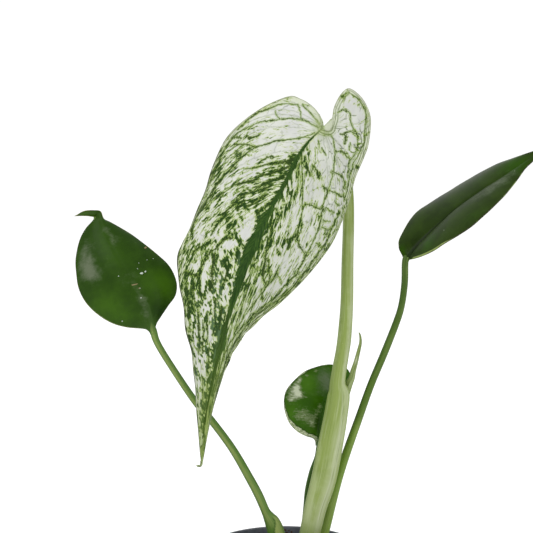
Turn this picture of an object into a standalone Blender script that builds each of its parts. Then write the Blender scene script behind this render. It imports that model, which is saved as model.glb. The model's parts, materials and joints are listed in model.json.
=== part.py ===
"""Potted young monstera in a round nursery pot, modelled in metres with +Z up.

The origin is the middle of the pot's base, on the surface it stands on.
+X runs to the plant's right and +Y away from the side that its leaves face.
"""

import math

import bmesh
import bpy
from mathutils import Vector

# Driving dimensions, in metres
GAP = 0.0003                 # clearance between pieces that touch
POT_RIM_RADIUS = 0.045
POT_HEIGHT = 0.0795
POT_BASE_RADIUS = 0.032
POT_WALL = 0.0015
RIM_HEIGHT = 0.0085          # the stepped band round the mouth
RIM_STEP = 0.003             # how far that band stands out from the wall
CHANNEL_LIFT = 0.0025        # the drainage channel under the pot
CHANNEL_INNER = 0.012
CHANNEL_OUTER = 0.024
DRAIN_HOLES = 8
DRAIN_RADIUS = 0.003
SOIL_TOP = 0.070
SOIL_MOUND = 0.0015          # the soil is this much higher in the middle
CROWN_CENTRE = (0.0085, 0.0025)
CROWN_HALF = (0.0165, 0.0115)
CROWN_TOP = 0.0725
CROWN_BOTTOM = 0.048
CROWN_TAPER = 0.7
LEAF_THICKNESS = 0.0007
ROUND_STEPS = 48
LOFT_SIDES = 16

MM = 0.001


def new_material(name, colour, roughness):
    material = bpy.data.materials.new(name)
    material.use_nodes = True
    shader = material.node_tree.nodes["Principled BSDF"]
    shader.inputs["Base Color"].default_value = (*colour, 1.0)
    shader.inputs["Roughness"].default_value = roughness
    shader.inputs["Metallic"].default_value = 0.0
    return material


def add_object(name, mesh, collection, material=None):
    piece = bpy.data.objects.new(name, mesh)
    collection.objects.link(piece)
    if material is not None:
        mesh.materials.append(material)
    return piece


def shade_round(mesh, angle=40.0):
    mesh.shade_smooth()
    mesh.set_sharp_from_angle(angle=math.radians(angle))


# ---- curves in space -------------------------------------------------------

def span_point(points, index, u):
    """A point of the smooth curve through the points, at share u of the span that starts at point index."""
    p1, p2 = points[index], points[index + 1]
    p0 = points[index - 1] if index > 0 else p1 * 2 - p2
    p3 = points[index + 2] if index + 2 < len(points) else p2 * 2 - p1
    return 0.5 * (
        2 * p1
        + (p2 - p0) * u
        + (2 * p0 - 5 * p1 + 4 * p2 - p3) * u ** 2
        + (3 * p1 - p0 - 3 * p2 + p3) * u ** 3
    )


def curve_point(points, where):
    """The point at share `where` of the curve's length, from its first point to its last."""
    lengths = [0.0]
    for before, after in zip(points, points[1:]):
        lengths.append(lengths[-1] + (after - before).length)
    target = min(max(where, 0.0), 1.0) * lengths[-1]
    index = 0
    while index < len(points) - 2 and lengths[index + 1] < target:
        index += 1
    return span_point(points, index, (target - lengths[index]) / (lengths[index + 1] - lengths[index]))


def in_metres(points):
    return [Vector(point) * MM for point in points]


def stations(path, sizes):
    """The curve's point and the size there, at each given point and halfway to the next."""
    found = []
    for index in range(len(path) - 1):
        found.append((path[index], sizes[index]))
        found.append((span_point(path, index, 0.5), (sizes[index] + sizes[index + 1]) / 2))
    found.append((path[-1], sizes[-1]))
    return found


# ---- pot and soil ----------------------------------------------------------

def turned(name, profile, collection, material):
    """A profile of (radius, height) pairs turned round the Z axis."""
    mesh = bpy.data.meshes.new(name)
    edges = [(i, i + 1) for i in range(len(profile) - 1)]
    mesh.from_pydata([(radius, 0.0, height) for radius, height in profile], edges, [])
    piece = add_object(name, mesh, collection, material)
    screw = piece.modifiers.new("Turn", "SCREW")
    screw.axis = "Z"
    screw.angle = math.tau
    screw.steps = ROUND_STEPS
    screw.render_steps = ROUND_STEPS
    screw.use_merge_vertices = True
    screw.merge_threshold = 0.00005
    screw.use_smooth_shade = False
    return piece


def wall_radius(height):
    """The pot's outer radius below the rim band."""
    top_radius = POT_RIM_RADIUS - RIM_STEP
    top_height = POT_HEIGHT - RIM_HEIGHT
    return POT_BASE_RADIUS + (top_radius - POT_BASE_RADIUS) * height / top_height


def cut(piece, cutter):
    cutter.hide_render = True
    cutter.display_type = "WIRE"
    boolean = piece.modifiers.new("Cut " + cutter.name, "BOOLEAN")
    boolean.operation = "DIFFERENCE"
    boolean.solver = "EXACT"
    boolean.object = cutter


def make_pot(collection, cutters, material):
    ledge = POT_HEIGHT - RIM_HEIGHT
    floor = CHANNEL_LIFT + POT_WALL
    lip = 0.0018
    profile = [
        (0.0, POT_WALL),
        (CHANNEL_INNER - POT_WALL, POT_WALL),
        (CHANNEL_INNER, floor),
        (CHANNEL_OUTER, floor),
        (CHANNEL_OUTER + POT_WALL, POT_WALL),
        (wall_radius(POT_WALL) - POT_WALL, POT_WALL),
        (wall_radius(ledge) - POT_WALL, ledge),
        (POT_RIM_RADIUS - lip - 0.0006, ledge + 0.0016),
        (POT_RIM_RADIUS - lip, POT_HEIGHT - 0.0006),
        (POT_RIM_RADIUS - lip + 0.0005, POT_HEIGHT),
        (POT_RIM_RADIUS - 0.0005, POT_HEIGHT),
        (POT_RIM_RADIUS, POT_HEIGHT - 0.0006),
        (POT_RIM_RADIUS - 0.0004, ledge),
        (wall_radius(ledge), ledge - 0.0005),
        (POT_BASE_RADIUS, 0.001),
        (POT_BASE_RADIUS - 0.001, 0.0),
        (CHANNEL_OUTER + 0.0005, 0.0),
        (CHANNEL_OUTER - 0.001, CHANNEL_LIFT),
        (CHANNEL_INNER + 0.001, CHANNEL_LIFT),
        (CHANNEL_INNER, 0.0),
        (0.0, 0.0),
    ]
    pot = turned("pot", profile, collection, material)
    ring_radius = (CHANNEL_INNER + CHANNEL_OUTER) / 2
    for index in range(DRAIN_HOLES):
        angle = math.tau * (index + 0.5) / DRAIN_HOLES
        drill = bpy.data.meshes.new("drain_drill")
        shape = bmesh.new()
        bmesh.ops.create_cone(shape, cap_ends=True, segments=16, radius1=DRAIN_RADIUS, radius2=DRAIN_RADIUS, depth=0.01)
        shape.to_mesh(drill)
        shape.free()
        cutter = add_object(f"drain_drill_{index + 1}", drill, cutters)
        cutter.location = (ring_radius * math.cos(angle), ring_radius * math.sin(angle), floor)
        cut(pot, cutter)
    shade_round(pot.data)
    return pot


def crown_mesh(name, grow):
    """The stem's short foot, widest at its top; `grow` widens it all round, for its place in the soil."""
    mesh = bpy.data.meshes.new(name)
    shape = bmesh.new()
    bmesh.ops.create_cone(
        shape,
        cap_ends=True,
        segments=28,
        radius1=CROWN_TAPER,
        radius2=1.0,
        depth=CROWN_TOP - CROWN_BOTTOM + 2 * grow,
    )
    for vertex in shape.verts:
        vertex.co.x *= CROWN_HALF[0] + grow
        vertex.co.y *= CROWN_HALF[1] + grow
    shape.to_mesh(mesh)
    shape.free()
    return mesh


def make_crown(collection, material):
    mesh = crown_mesh("stem_crown", 0.0)
    crown = add_object("stem_crown", mesh, collection, material)
    crown.location = (*CROWN_CENTRE, (CROWN_TOP + CROWN_BOTTOM) / 2)
    shade_round(mesh)
    return crown


def make_soil(collection, cutters, material):
    floor = CHANNEL_LIFT + POT_WALL + GAP
    edge_height = SOIL_TOP - 0.002
    inner_bottom = wall_radius(floor) - POT_WALL - GAP
    inner_top = wall_radius(edge_height) - POT_WALL - GAP
    profile = [
        (0.0, SOIL_TOP + SOIL_MOUND),
        (0.4 * inner_top, SOIL_TOP + 0.8 * SOIL_MOUND),
        (0.75 * inner_top, SOIL_TOP),
        (inner_top, edge_height),
        (inner_bottom, floor),
        (0.0, floor),
    ]
    soil = turned("soil", profile, collection, material)
    cutter = add_object("crown_seat", crown_mesh("crown_seat", GAP), cutters)
    cutter.location = (*CROWN_CENTRE, (CROWN_TOP + CROWN_BOTTOM) / 2)
    cut(soil, cutter)
    shade_round(soil.data)
    return soil


# ---- stalks ----------------------------------------------------------------

def make_tube(name, path, radii, collection, material):
    """A round stalk: a poly curve with a radius at each of its points."""
    data = bpy.data.curves.new(name, "CURVE")
    data.dimensions = "3D"
    data.bevel_depth = MM
    data.bevel_resolution = 2
    data.use_fill_caps = True
    spots = stations(in_metres(path), radii)
    spline = data.splines.new("POLY")
    spline.points.add(len(spots) - 1)
    for point, (place, radius) in zip(spline.points, spots):
        point.co = (*place, 1.0)
        point.radius = radius
    data.materials.append(material)
    tube = bpy.data.objects.new(name, data)
    collection.objects.link(tube)
    return tube


def make_loft(name, path, halves, collection, material):
    """A stalk whose section changes: an oval with its own half width and half depth at each point."""
    spots = stations(in_metres(path), [Vector(half) * MM for half in halves])
    shape = bmesh.new()
    loops = []
    for index, (centre, half) in enumerate(spots):
        before = spots[max(index - 1, 0)][0]
        after = spots[min(index + 1, len(spots) - 1)][0]
        ahead = (after - before).normalized() if index else Vector((0.0, 0.0, 1.0))  # the foot is level
        wide = Vector((1.0, 0.0, 0.0))
        wide = (wide - ahead * wide.dot(ahead)).normalized()
        deep = ahead.cross(wide)
        loop = []
        for side in range(LOFT_SIDES):
            angle = math.tau * side / LOFT_SIDES
            offset = wide * (half.x * math.cos(angle)) + deep * (half.y * math.sin(angle))
            loop.append(shape.verts.new(centre + offset))
        loops.append(loop)
    for lower, upper in zip(loops, loops[1:]):
        for side in range(LOFT_SIDES):
            after = (side + 1) % LOFT_SIDES
            shape.faces.new((lower[side], lower[after], upper[after], upper[side]))
    shape.faces.new(list(reversed(loops[0])))
    shape.faces.new(loops[-1])
    mesh = bpy.data.meshes.new(name)
    shape.to_mesh(mesh)
    shape.free()
    shade_round(mesh)
    return add_object(name, mesh, collection, material)


# Stalk paths, from the crown up, in millimetres, each with its (half width, half depth)
MAIN_STALK = [
    (8.5, 0.0, 72.8, 5.2, 4.2),
    (10.0, 0.0, 78.0, 5.3, 4.2),
    (13.5, 0.0, 90.5, 5.6, 4.2),
    (16.5, 0.5, 104.5, 6.0, 4.2),
    (21.0, 1.0, 121.0, 6.8, 4.2),
    (25.5, 1.5, 145.5, 6.6, 4.2),
    (27.2, 2.0, 155.5, 6.4, 4.2),
    (29.2, 2.5, 171.0, 6.1, 4.0),
    (29.2, 2.5, 175.5, 5.0, 3.9),
    (30.5, 3.0, 190.0, 4.0, 3.8),
    (31.5, 3.5, 198.5, 3.9, 3.7),
    (32.5, 4.5, 216.0, 3.7, 3.6),
    (33.0, 6.0, 239.5, 3.4, 3.3),
    (33.5, 7.5, 258.0, 3.2, 3.2),
    (33.0, 8.0, 274.0, 3.0, 3.0),
    (31.0, 6.5, 288.5, 3.0, 3.0),
    (27.0, 1.0, 299.5, 2.9, 2.8),
    (23.0, -4.5, 306.0, 2.5, 2.4),
    (21.2, -7.5, 308.3, 2.0, 2.0),
]
LEFT_STALK = [
    (-0.8, -2.0, 72.8, 4.0, 3.4),
    (-1.8, -2.5, 79.0, 4.3, 3.4),
    (-4.2, -3.0, 91.5, 4.7, 3.2),
    (-6.0, -3.1, 97.0, 4.6, 3.0),
    (-8.0, -3.3, 100.5, 3.6, 2.7),
    (-10.0, -3.5, 104.0, 2.5, 2.4),
    (-14.0, -4.0, 112.5, 2.4, 2.3),
    (-18.5, -4.4, 121.5, 2.3, 2.2),
    (-28.5, -5.0, 139.5, 2.1, 2.0),
    (-41.0, -5.5, 157.0, 2.0, 1.9),
    (-48.0, -6.0, 165.5, 1.9, 1.9),
    (-59.5, -7.0, 183.5, 1.8, 1.8),
    (-67.3, -7.6, 197.0, 1.8, 1.6),
    (-69.8, -8.0, 204.6, 2.0, 1.3),
]
RIGHT_STALK = [
    (17.2, 7.0, 73.8, 2.9),
    (19.8, 7.6, 81.0, 2.8),
    (23.0, 8.2, 94.0, 2.6),
    (30.0, 9.0, 122.0, 2.4),
    (40.5, 10.0, 153.5, 2.1),
    (46.5, 10.0, 171.0, 2.0),
    (53.5, 10.0, 188.5, 2.0),
    (60.0, 10.0, 206.0, 1.9),
    (62.4, 10.0, 215.0, 1.8),
    (63.7, 10.0, 226.0, 1.8),
    (64.0, 10.0, 239.7, 1.9),
]
SMALL_STALK = [
    (8.5, 8.0, 73.1, 2.1),
    (9.2, 8.4, 79.0, 1.8),
    (10.6, 9.0, 89.0, 1.6),
    (12.0, 9.5, 101.5, 1.5),
    (13.2, 10.0, 111.5, 1.5),
    (15.0, 10.6, 121.0, 1.4),
    (17.0, 11.6, 129.5, 1.4),
    (17.5, 12.4, 135.5, 1.4),
    (17.1, 12.9, 138.3, 1.4),
]
NEW_LEAF = [
    (31.3, 6.4, 153.0, 0.9),
    (33.0, 6.6, 161.5, 1.3),
    (35.0, 6.0, 169.5, 1.5),
    (36.3, 4.6, 177.5, 1.4),
    (37.5, 3.0, 184.5, 1.35),
    (39.0, 2.5, 191.5, 1.1),
    (40.0, 2.5, 195.5, 0.8),
    (39.8, 2.5, 199.0, 0.55),
    (39.1, 2.5, 201.0, 0.3),
]

# Leaf outlines, from the stalk round to the tip, in millimetres
MAIN_LEAF = {
    "midrib": [
        (19.0, -10.0, 311.5), (8.5, -17.0, 301.0), (-1.5, -24.0, 282.5), (-12.5, -29.0, 262.5),
        (-26.0, -31.0, 230.5), (-36.5, -27.0, 187.5), (-43.5, -22.0, 154.0), (-45.0, -19.0, 133.0),
    ],
    "left": [
        (19.0, -10.0, 311.5), (17.5, -8.5, 318.0), (13.0, -6.5, 323.0), (7.5, -5.0, 326.0),
        (1.0, -4.0, 327.0), (-15.0, -6.0, 319.5), (-30.0, -9.0, 307.0), (-38.5, -12.0, 289.5),
        (-43.5, -15.0, 274.0), (-52.5, -18.0, 254.5), (-56.5, -19.0, 242.0), (-53.5, -20.0, 222.0),
        (-51.5, -20.0, 204.0), (-48.5, -20.0, 189.5), (-46.5, -20.0, 161.0), (-45.5, -19.5, 142.5),
        (-45.0, -19.0, 133.0),
    ],
    "right": [
        (19.0, -10.0, 311.5), (22.0, -9.5, 312.5), (24.0, -8.5, 316.0), (25.0, -7.0, 321.0),
        (28.0, -4.0, 327.5), (32.5, -1.5, 331.0), (37.5, 0.5, 328.5), (41.5, 2.5, 323.0),
        (44.0, 3.0, 314.5), (42.7, 1.0, 302.5), (40.0, -1.0, 294.5), (36.0, -4.0, 284.5),
        (34.0, -6.5, 276.0), (30.5, -9.0, 266.0), (24.5, -12.5, 254.0), (19.0, -15.0, 245.0),
        (9.5, -17.5, 233.0), (-4.0, -19.5, 220.0), (-15.5, -20.5, 211.0), (-24.5, -21.0, 200.0),
        (-32.0, -21.0, 186.0), (-37.0, -20.0, 168.5), (-40.8, -19.5, 150.5), (-45.0, -19.0, 133.0),
    ],
    "lobe": 0.24,
    "lean": 0.18,
    "swing": 0.35,
    "camber": 0.05,
    "face": (0.0, -0.99, 0.12),
    "rows": 38,
    "across": 5,
}
LEFT_LEAF = {
    "midrib": [
        (-70.0, -8.0, 205.0), (-72.5, -9.0, 217.5), (-78.5, -8.0, 226.5), (-88.0, -3.0, 242.5),
        (-95.5, 4.0, 256.0), (-98.0, 7.0, 263.5), (-101.0, 5.0, 264.5), (-106.0, 3.0, 265.0),
        (-111.0, 2.0, 263.5),
    ],
    "left": [
        (-70.0, -8.0, 205.0), (-75.0, -7.0, 205.0), (-84.0, -6.0, 205.5), (-91.5, -5.0, 207.5),
        (-99.5, -3.0, 212.0), (-106.0, -1.0, 218.5), (-109.5, 1.0, 225.5), (-110.8, 3.0, 233.0),
        (-111.0, 5.0, 241.0), (-109.0, 7.0, 250.0), (-105.5, 8.0, 256.5), (-100.7, 7.2, 261.5),
        (-103.0, 4.5, 263.0), (-107.0, 3.0, 263.5), (-111.0, 2.0, 263.5),
    ],
    "right": [
        (-70.0, -8.0, 205.0), (-68.0, -7.5, 208.5), (-66.0, -6.5, 212.0), (-62.5, -5.0, 217.0),
        (-58.5, -2.0, 222.5), (-58.0, 1.0, 229.5), (-63.0, 4.0, 238.0), (-74.5, 7.0, 248.0),
        (-83.5, 9.0, 254.5), (-92.5, 9.0, 259.3), (-96.0, 8.5, 261.3), (-97.5, 7.0, 265.3),
        (-100.5, 5.5, 266.2), (-106.0, 3.0, 266.2), (-111.0, 2.0, 263.5),
    ],
    "lobe": 0.06,
    "lean": 0.1,
    "swing": 0.0,
    "camber": 0.09,
    "face": (0.1, -0.93, 0.35),
    "rows": 28,
    "across": 4,
}
RIGHT_LEAF = {
    "midrib": [
        (64.0, 10.0, 240.5), (73.5, 9.0, 250.5), (88.5, 8.0, 265.5), (102.5, 8.0, 276.0),
        (114.0, 8.0, 283.5), (130.0, 8.0, 294.5), (138.5, 8.0, 299.5),
    ],
    "left": [
        (64.0, 10.0, 240.5), (60.5, 14.0, 245.0), (61.5, 19.0, 249.5), (69.0, 27.0, 260.0),
        (77.5, 30.0, 266.0), (89.5, 31.0, 273.5), (102.5, 28.0, 282.0), (112.5, 22.0, 288.5),
        (120.5, 16.0, 292.5), (130.5, 10.0, 297.0), (138.5, 8.0, 299.5),
    ],
    "right": [
        (64.0, 10.0, 240.5), (67.5, 8.0, 240.0), (71.5, 1.0, 242.0), (76.5, -6.0, 246.0),
        (83.0, -11.0, 251.5), (93.5, -15.0, 259.0), (102.0, -14.0, 266.0), (112.5, -9.0, 275.0),
        (120.5, -1.0, 282.5), (125.5, 4.0, 288.0), (130.0, 6.0, 292.0), (138.5, 8.0, 299.5),
    ],
    "lobe": 0.1,
    "lean": 0.1,
    "swing": 0.0,
    "camber": 0.07,
    "face": (-0.58, -0.29, 0.76),
    "rows": 24,
    "across": 4,
}
SMALL_LEAF = {
    "midrib": [
        (16.5, 13.0, 139.0), (18.5, 14.0, 147.0), (22.0, 17.0, 160.0), (26.0, 20.0, 170.5),
        (29.0, 22.0, 176.0), (30.5, 22.8, 178.0),
    ],
    "left": [
        (16.5, 13.0, 139.0), (11.0, 12.0, 141.5), (6.5, 12.0, 144.0), (2.0, 12.5, 149.0),
        (-0.5, 14.0, 157.0), (0.0, 16.0, 164.0), (3.5, 18.0, 169.3), (10.0, 20.0, 175.0),
        (17.0, 22.0, 177.5), (23.5, 22.8, 178.7), (30.5, 22.8, 178.0),
    ],
    "right": [
        (16.5, 13.0, 139.0), (20.0, 14.0, 140.0), (26.5, 15.0, 143.5), (30.8, 16.0, 149.0),
        (33.3, 18.0, 157.5), (35.3, 20.0, 166.0), (35.8, 21.0, 172.5), (34.0, 22.3, 176.3),
        (30.5, 22.8, 178.0),
    ],
    "lobe": 0.1,
    "lean": 0.1,
    "swing": 0.0,
    "camber": 0.08,
    "face": (-0.05, -0.93, 0.36),
    "rows": 16,
    "across": 4,
}


def leaf_point(leaf, along_edge, across):
    """A point of the blade: along_edge runs from stalk to tip, across from the left edge (-1) to the right (1)."""
    edge = leaf["left"] if across < 0 else leaf["right"]
    share = abs(across)
    on_midrib = max(0.0, (along_edge - leaf["lobe"]) / (1.0 - leaf["lobe"]))
    start = curve_point(leaf["midrib"], on_midrib)
    end = curve_point(edge, along_edge)
    back = curve_point(leaf["midrib"], on_midrib - 0.02) - curve_point(leaf["midrib"], on_midrib + 0.02)
    back.normalize()
    reach = (end - start).length
    bend = (start + end) / 2 + back * (leaf["lean"] * reach)
    if across > 0 and along_edge < leaf["lobe"]:  # the right lobe's veins swing out round the sinus
        aside = leaf["face"].cross(end - start)
        bend -= aside * (leaf["swing"] * (1.0 - along_edge / leaf["lobe"]))
    point = start * (1 - share) ** 2 + bend * (2 * share * (1 - share)) + end * share ** 2
    return point + leaf["face"] * (leaf["camber"] * reach * 4 * share * (1 - share))


def make_leaf(name, outline, collection, material):
    """A blade: a flat grid moved onto the leaf's surface, then given its thickness."""
    leaf = dict(outline)
    for key in ("midrib", "left", "right"):
        leaf[key] = in_metres(outline[key])
    leaf["face"] = Vector(outline["face"]).normalized()
    shape = bmesh.new()
    bmesh.ops.create_grid(shape, x_segments=2 * leaf["across"], y_segments=leaf["rows"], size=1.0)
    for vertex in shape.verts:
        across = max(-1.0, min(1.0, vertex.co.x))
        along_edge = (vertex.co.y + 1.0) / 2.0
        vertex.co = leaf_point(leaf, along_edge, across)
    bmesh.ops.remove_doubles(shape, verts=shape.verts, dist=0.00002)
    mesh = bpy.data.meshes.new(name)
    shape.to_mesh(mesh)
    shape.free()
    shade_round(mesh)
    blade = add_object(name, mesh, collection, material)
    skin = blade.modifiers.new("Thickness", "SOLIDIFY")
    skin.thickness = LEAF_THICKNESS
    skin.offset = 0.0
    skin.use_even_offset = False
    return blade


def make_stalk(name, rows, collection, material):
    """A tube where the rows give one radius, a loft where they give a half width and a half depth."""
    path = [row[:3] for row in rows]
    if len(rows[0]) == 4:
        return make_tube(name, path, [row[3] for row in rows], collection, material)
    return make_loft(name, path, [row[3:] for row in rows], collection, material)


def main():
    for item in list(bpy.data.objects):
        bpy.data.objects.remove(item, do_unlink=True)
    plant = bpy.data.collections.new("potted_monstera")
    cutters = bpy.data.collections.new("cutters")
    bpy.context.scene.collection.children.link(plant)
    bpy.context.scene.collection.children.link(cutters)

    plastic = new_material("pot_plastic", (0.075, 0.085, 0.105), 0.55)
    earth = new_material("potting_mix", (0.075, 0.045, 0.03), 0.95)
    crown_skin = new_material("crown_skin", (0.20, 0.24, 0.09), 0.6)
    pale_stalk = new_material("pale_stalk", (0.36, 0.44, 0.17), 0.45)
    green_stalk = new_material("green_stalk", (0.14, 0.27, 0.06), 0.45)
    white_leaf = new_material("variegated_leaf", (0.66, 0.72, 0.58), 0.45)
    green_leaf = new_material("green_leaf", (0.04, 0.12, 0.02), 0.35)
    patched_leaf = new_material("patched_leaf", (0.07, 0.17, 0.04), 0.35)

    make_pot(plant, cutters, plastic)
    make_soil(plant, cutters, earth)
    make_crown(plant, crown_skin)
    make_stalk("main_leaf_stalk", MAIN_STALK, plant, pale_stalk)
    make_stalk("new_leaf_spear", NEW_LEAF, plant, pale_stalk)
    make_stalk("left_leaf_stalk", LEFT_STALK, plant, green_stalk)
    make_stalk("right_leaf_stalk", RIGHT_STALK, plant, green_stalk)
    make_stalk("small_leaf_stalk", SMALL_STALK, plant, green_stalk)
    make_leaf("main_leaf_blade", MAIN_LEAF, plant, white_leaf)
    make_leaf("left_leaf_blade", LEFT_LEAF, plant, green_leaf)
    make_leaf("right_leaf_blade", RIGHT_LEAF, plant, green_leaf)
    make_leaf("small_leaf_blade", SMALL_LEAF, plant, patched_leaf)


main()
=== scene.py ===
import json
import math

import bpy
import numpy as np
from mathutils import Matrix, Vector, kdtree, noise

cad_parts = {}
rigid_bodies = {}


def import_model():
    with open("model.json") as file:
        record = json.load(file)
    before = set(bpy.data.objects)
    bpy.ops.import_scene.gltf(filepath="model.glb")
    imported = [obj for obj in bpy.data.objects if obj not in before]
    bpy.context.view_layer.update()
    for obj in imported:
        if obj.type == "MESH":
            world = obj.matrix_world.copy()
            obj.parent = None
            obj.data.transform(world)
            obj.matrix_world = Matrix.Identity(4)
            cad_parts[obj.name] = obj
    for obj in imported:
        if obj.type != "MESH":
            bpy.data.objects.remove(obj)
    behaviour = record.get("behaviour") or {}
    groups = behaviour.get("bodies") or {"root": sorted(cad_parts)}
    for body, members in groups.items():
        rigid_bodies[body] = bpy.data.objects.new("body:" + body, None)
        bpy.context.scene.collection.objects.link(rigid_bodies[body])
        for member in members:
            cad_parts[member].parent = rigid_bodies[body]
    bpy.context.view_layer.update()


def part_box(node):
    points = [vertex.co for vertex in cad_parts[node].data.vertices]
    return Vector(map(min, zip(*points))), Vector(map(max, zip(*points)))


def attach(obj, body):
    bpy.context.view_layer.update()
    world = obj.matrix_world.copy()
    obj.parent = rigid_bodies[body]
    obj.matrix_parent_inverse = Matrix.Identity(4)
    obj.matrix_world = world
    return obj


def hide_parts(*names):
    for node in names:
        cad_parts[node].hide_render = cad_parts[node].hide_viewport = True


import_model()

mm = 0.001
context = bpy.context
rng = np.random.default_rng(7)


def deselect():
    if context.object and context.object.mode != "OBJECT":
        bpy.ops.object.mode_set(mode="OBJECT")
    bpy.ops.object.select_all(action="DESELECT")


def pick(piece):
    deselect()
    piece.select_set(True)
    context.view_layer.objects.active = piece


def applyModifier(piece, kind, **settings):
    pick(piece)
    step = piece.modifiers.new(kind.title(), kind)
    for key, value in settings.items():
        setattr(step, key, value)
    bpy.ops.object.modifier_apply(modifier=step.name)


def joinAll(pieces, into):
    deselect()
    for piece in pieces:
        piece.select_set(True)
    context.view_layer.objects.active = into
    bpy.ops.object.join()
    return context.object


def places(piece):
    flat = np.empty(len(piece.data.vertices) * 3, np.float32)
    piece.data.vertices.foreach_get("co", flat)
    return flat.reshape(-1, 3).astype(float)


def setPlaces(piece, spots):
    piece.data.vertices.foreach_set("co", np.asarray(spots, np.float32).ravel())
    piece.data.update()


def setMark(piece, name, values):
    # a number kept at every vertex, for the material to read
    mark = piece.data.attributes.new(name, "FLOAT", "POINT")
    mark.data.foreach_set("value", np.asarray(values, np.float32).ravel())


def smoothStep(low, high, value):
    share = np.clip((value - low) / (high - low), 0.0, 1.0)
    return share * share * (3 - 2 * share)


def unit(rows):
    return rows / np.maximum(np.linalg.norm(rows, axis=-1, keepdims=True), 1e-9)


def lumps(spots, size, seed=0.0, octaves=3):
    # soft unevenness between about -1 and 1; size is in the units of the spots
    out = np.empty(len(spots))
    shift = Vector((seed * 13.7, seed * 7.3, seed * 3.1))
    for index, spot in enumerate(spots):
        out[index] = noise.fractal(Vector(spot) / size + shift, 1.0, 2.0, octaves)
    return out


def alongCurve(points, share):
    # a smooth curve through the points, read at shares of its length
    knots = np.array(points, float)
    share = np.asarray(share, float)
    steps = np.r_[0.0, np.cumsum(np.linalg.norm(np.diff(knots[:, :3], axis=0), axis=1))]
    want = np.clip(share, 0.0, 1.0) * steps[-1]
    k = np.clip(np.searchsorted(steps, want, side="right") - 1, 0, len(knots) - 2)
    u = ((want - steps[k]) / (steps[k + 1] - steps[k]))[..., None]
    here, there = knots[k], knots[k + 1]
    first, last = (k == 0)[..., None], (k == len(knots) - 2)[..., None]
    before = np.where(first, 2 * here - there, knots[np.maximum(k - 1, 0)])
    after = np.where(last, 2 * there - here, knots[np.minimum(k + 2, len(knots) - 1)])
    bend = 2 * before - 5 * here + 4 * there - after
    twist = 3 * here - before - 3 * there + after
    return 0.5 * (2 * here + (there - before) * u + bend * u ** 2 + twist * u ** 3)


def besideLines(shape, lines, facing):
    # for every point: the way across to the nearest line (signed), how far off that line is,
    # and its weight there
    spots = np.vstack([line for line, weight in lines])
    across = np.vstack([np.cross(facing, unit(np.gradient(line, axis=0))) for line, weight in lines])
    weights = np.concatenate([np.linspace(weight[0], weight[1], len(line)) for line, weight in lines])
    tree = kdtree.KDTree(len(spots))
    for index, spot in enumerate(spots):
        tree.insert(spot, index)
    tree.balance()
    points = shape.reshape(-1, 3)
    found = [tree.find(point) for point in points]
    near = np.array([index for spot, index, distance in found])
    distance = np.array([distance for spot, index, distance in found])
    signed = ((points - spots[near]) * across[near]).sum(-1)
    size = shape.shape[:2]
    return signed.reshape(size), distance.reshape(size), weights[near].reshape(size)


# ---- shader helpers

def tint(red, green, blue):
    # a screen colour, 0 to 255, as the shader wants it
    parts = []
    for part in (red, green, blue):
        part /= 255.0
        parts.append(part / 12.92 if part < 0.04045 else ((part + 0.055) / 1.055) ** 2.4)
    return (*parts, 1.0)


def plug(tree, socket, value):
    if value is None:
        return
    if isinstance(value, bpy.types.NodeSocket):
        tree.links.new(value, socket)
    else:
        socket.default_value = value


def put(tree, kind, wires=(), **settings):
    made = tree.nodes.new("ShaderNode" + kind)
    for key, value in settings.items():
        setattr(made, key, value)
    for key, value in dict(wires).items():
        plug(tree, made.inputs[key], value)
    return made


def calc(tree, operation, first, second=None, third=None):
    return put(tree, "Math", {0: first, 1: second, 2: third}, operation=operation).outputs[0]


def times(tree, first, second):
    return calc(tree, "MULTIPLY", first, second)


def timesPlus(tree, first, second, third):
    return calc(tree, "MULTIPLY_ADD", first, second, third)


def plus(tree, first, second):
    return calc(tree, "ADD", first, second)


def minus(tree, first, second):
    return calc(tree, "SUBTRACT", first, second)


def larger(tree, first, second):
    return calc(tree, "MAXIMUM", first, second)


def ramp(tree, value, low, high, toLow=0.0, toHigh=1.0, how="SMOOTHSTEP"):
    wires = {"Value": value, "From Min": low, "From Max": high, "To Min": toLow, "To Max": toHigh}
    return put(tree, "MapRange", wires, interpolation_type=how).outputs["Result"]


def mix(tree, share, first, second, how="MIX"):
    made = put(tree, "Mix", data_type="RGBA", blend_type=how)
    plug(tree, made.inputs[0], share)
    plug(tree, made.inputs[6], first)
    plug(tree, made.inputs[7], second)
    return made.outputs[2]


def noiseAt(tree, vector, scale, detail=3.0, rough=0.55, warp=0.0):
    wires = {"Vector": vector, "Scale": scale, "Detail": detail, "Roughness": rough, "Distortion": warp}
    return put(tree, "TexNoise", wires).outputs["Fac"]


def asVector(tree, x=0.0, y=0.0, z=0.0):
    return put(tree, "CombineXYZ", {0: x, 1: y, 2: z}).outputs[0]


def mark(tree, name):
    return put(tree, "Attribute", attribute_name=name, attribute_type="GEOMETRY").outputs["Fac"]


def objectPlace(tree):
    return put(tree, "TexCoord").outputs["Object"]


def stretched(tree, vector, scale, rotation=(0.0, 0.0, 0.0)):
    return put(tree, "Mapping", {"Vector": vector, "Rotation": rotation, "Scale": scale}).outputs[0]


def offMidrib(tree):
    # how far from the midrib in millimetres, and a number that sets the two halves of a blade apart
    rib = mark(tree, "fromRib")
    return calc(tree, "ABSOLUTE", rib), times(tree, calc(tree, "SIGN", rib), 20.0)


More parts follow.
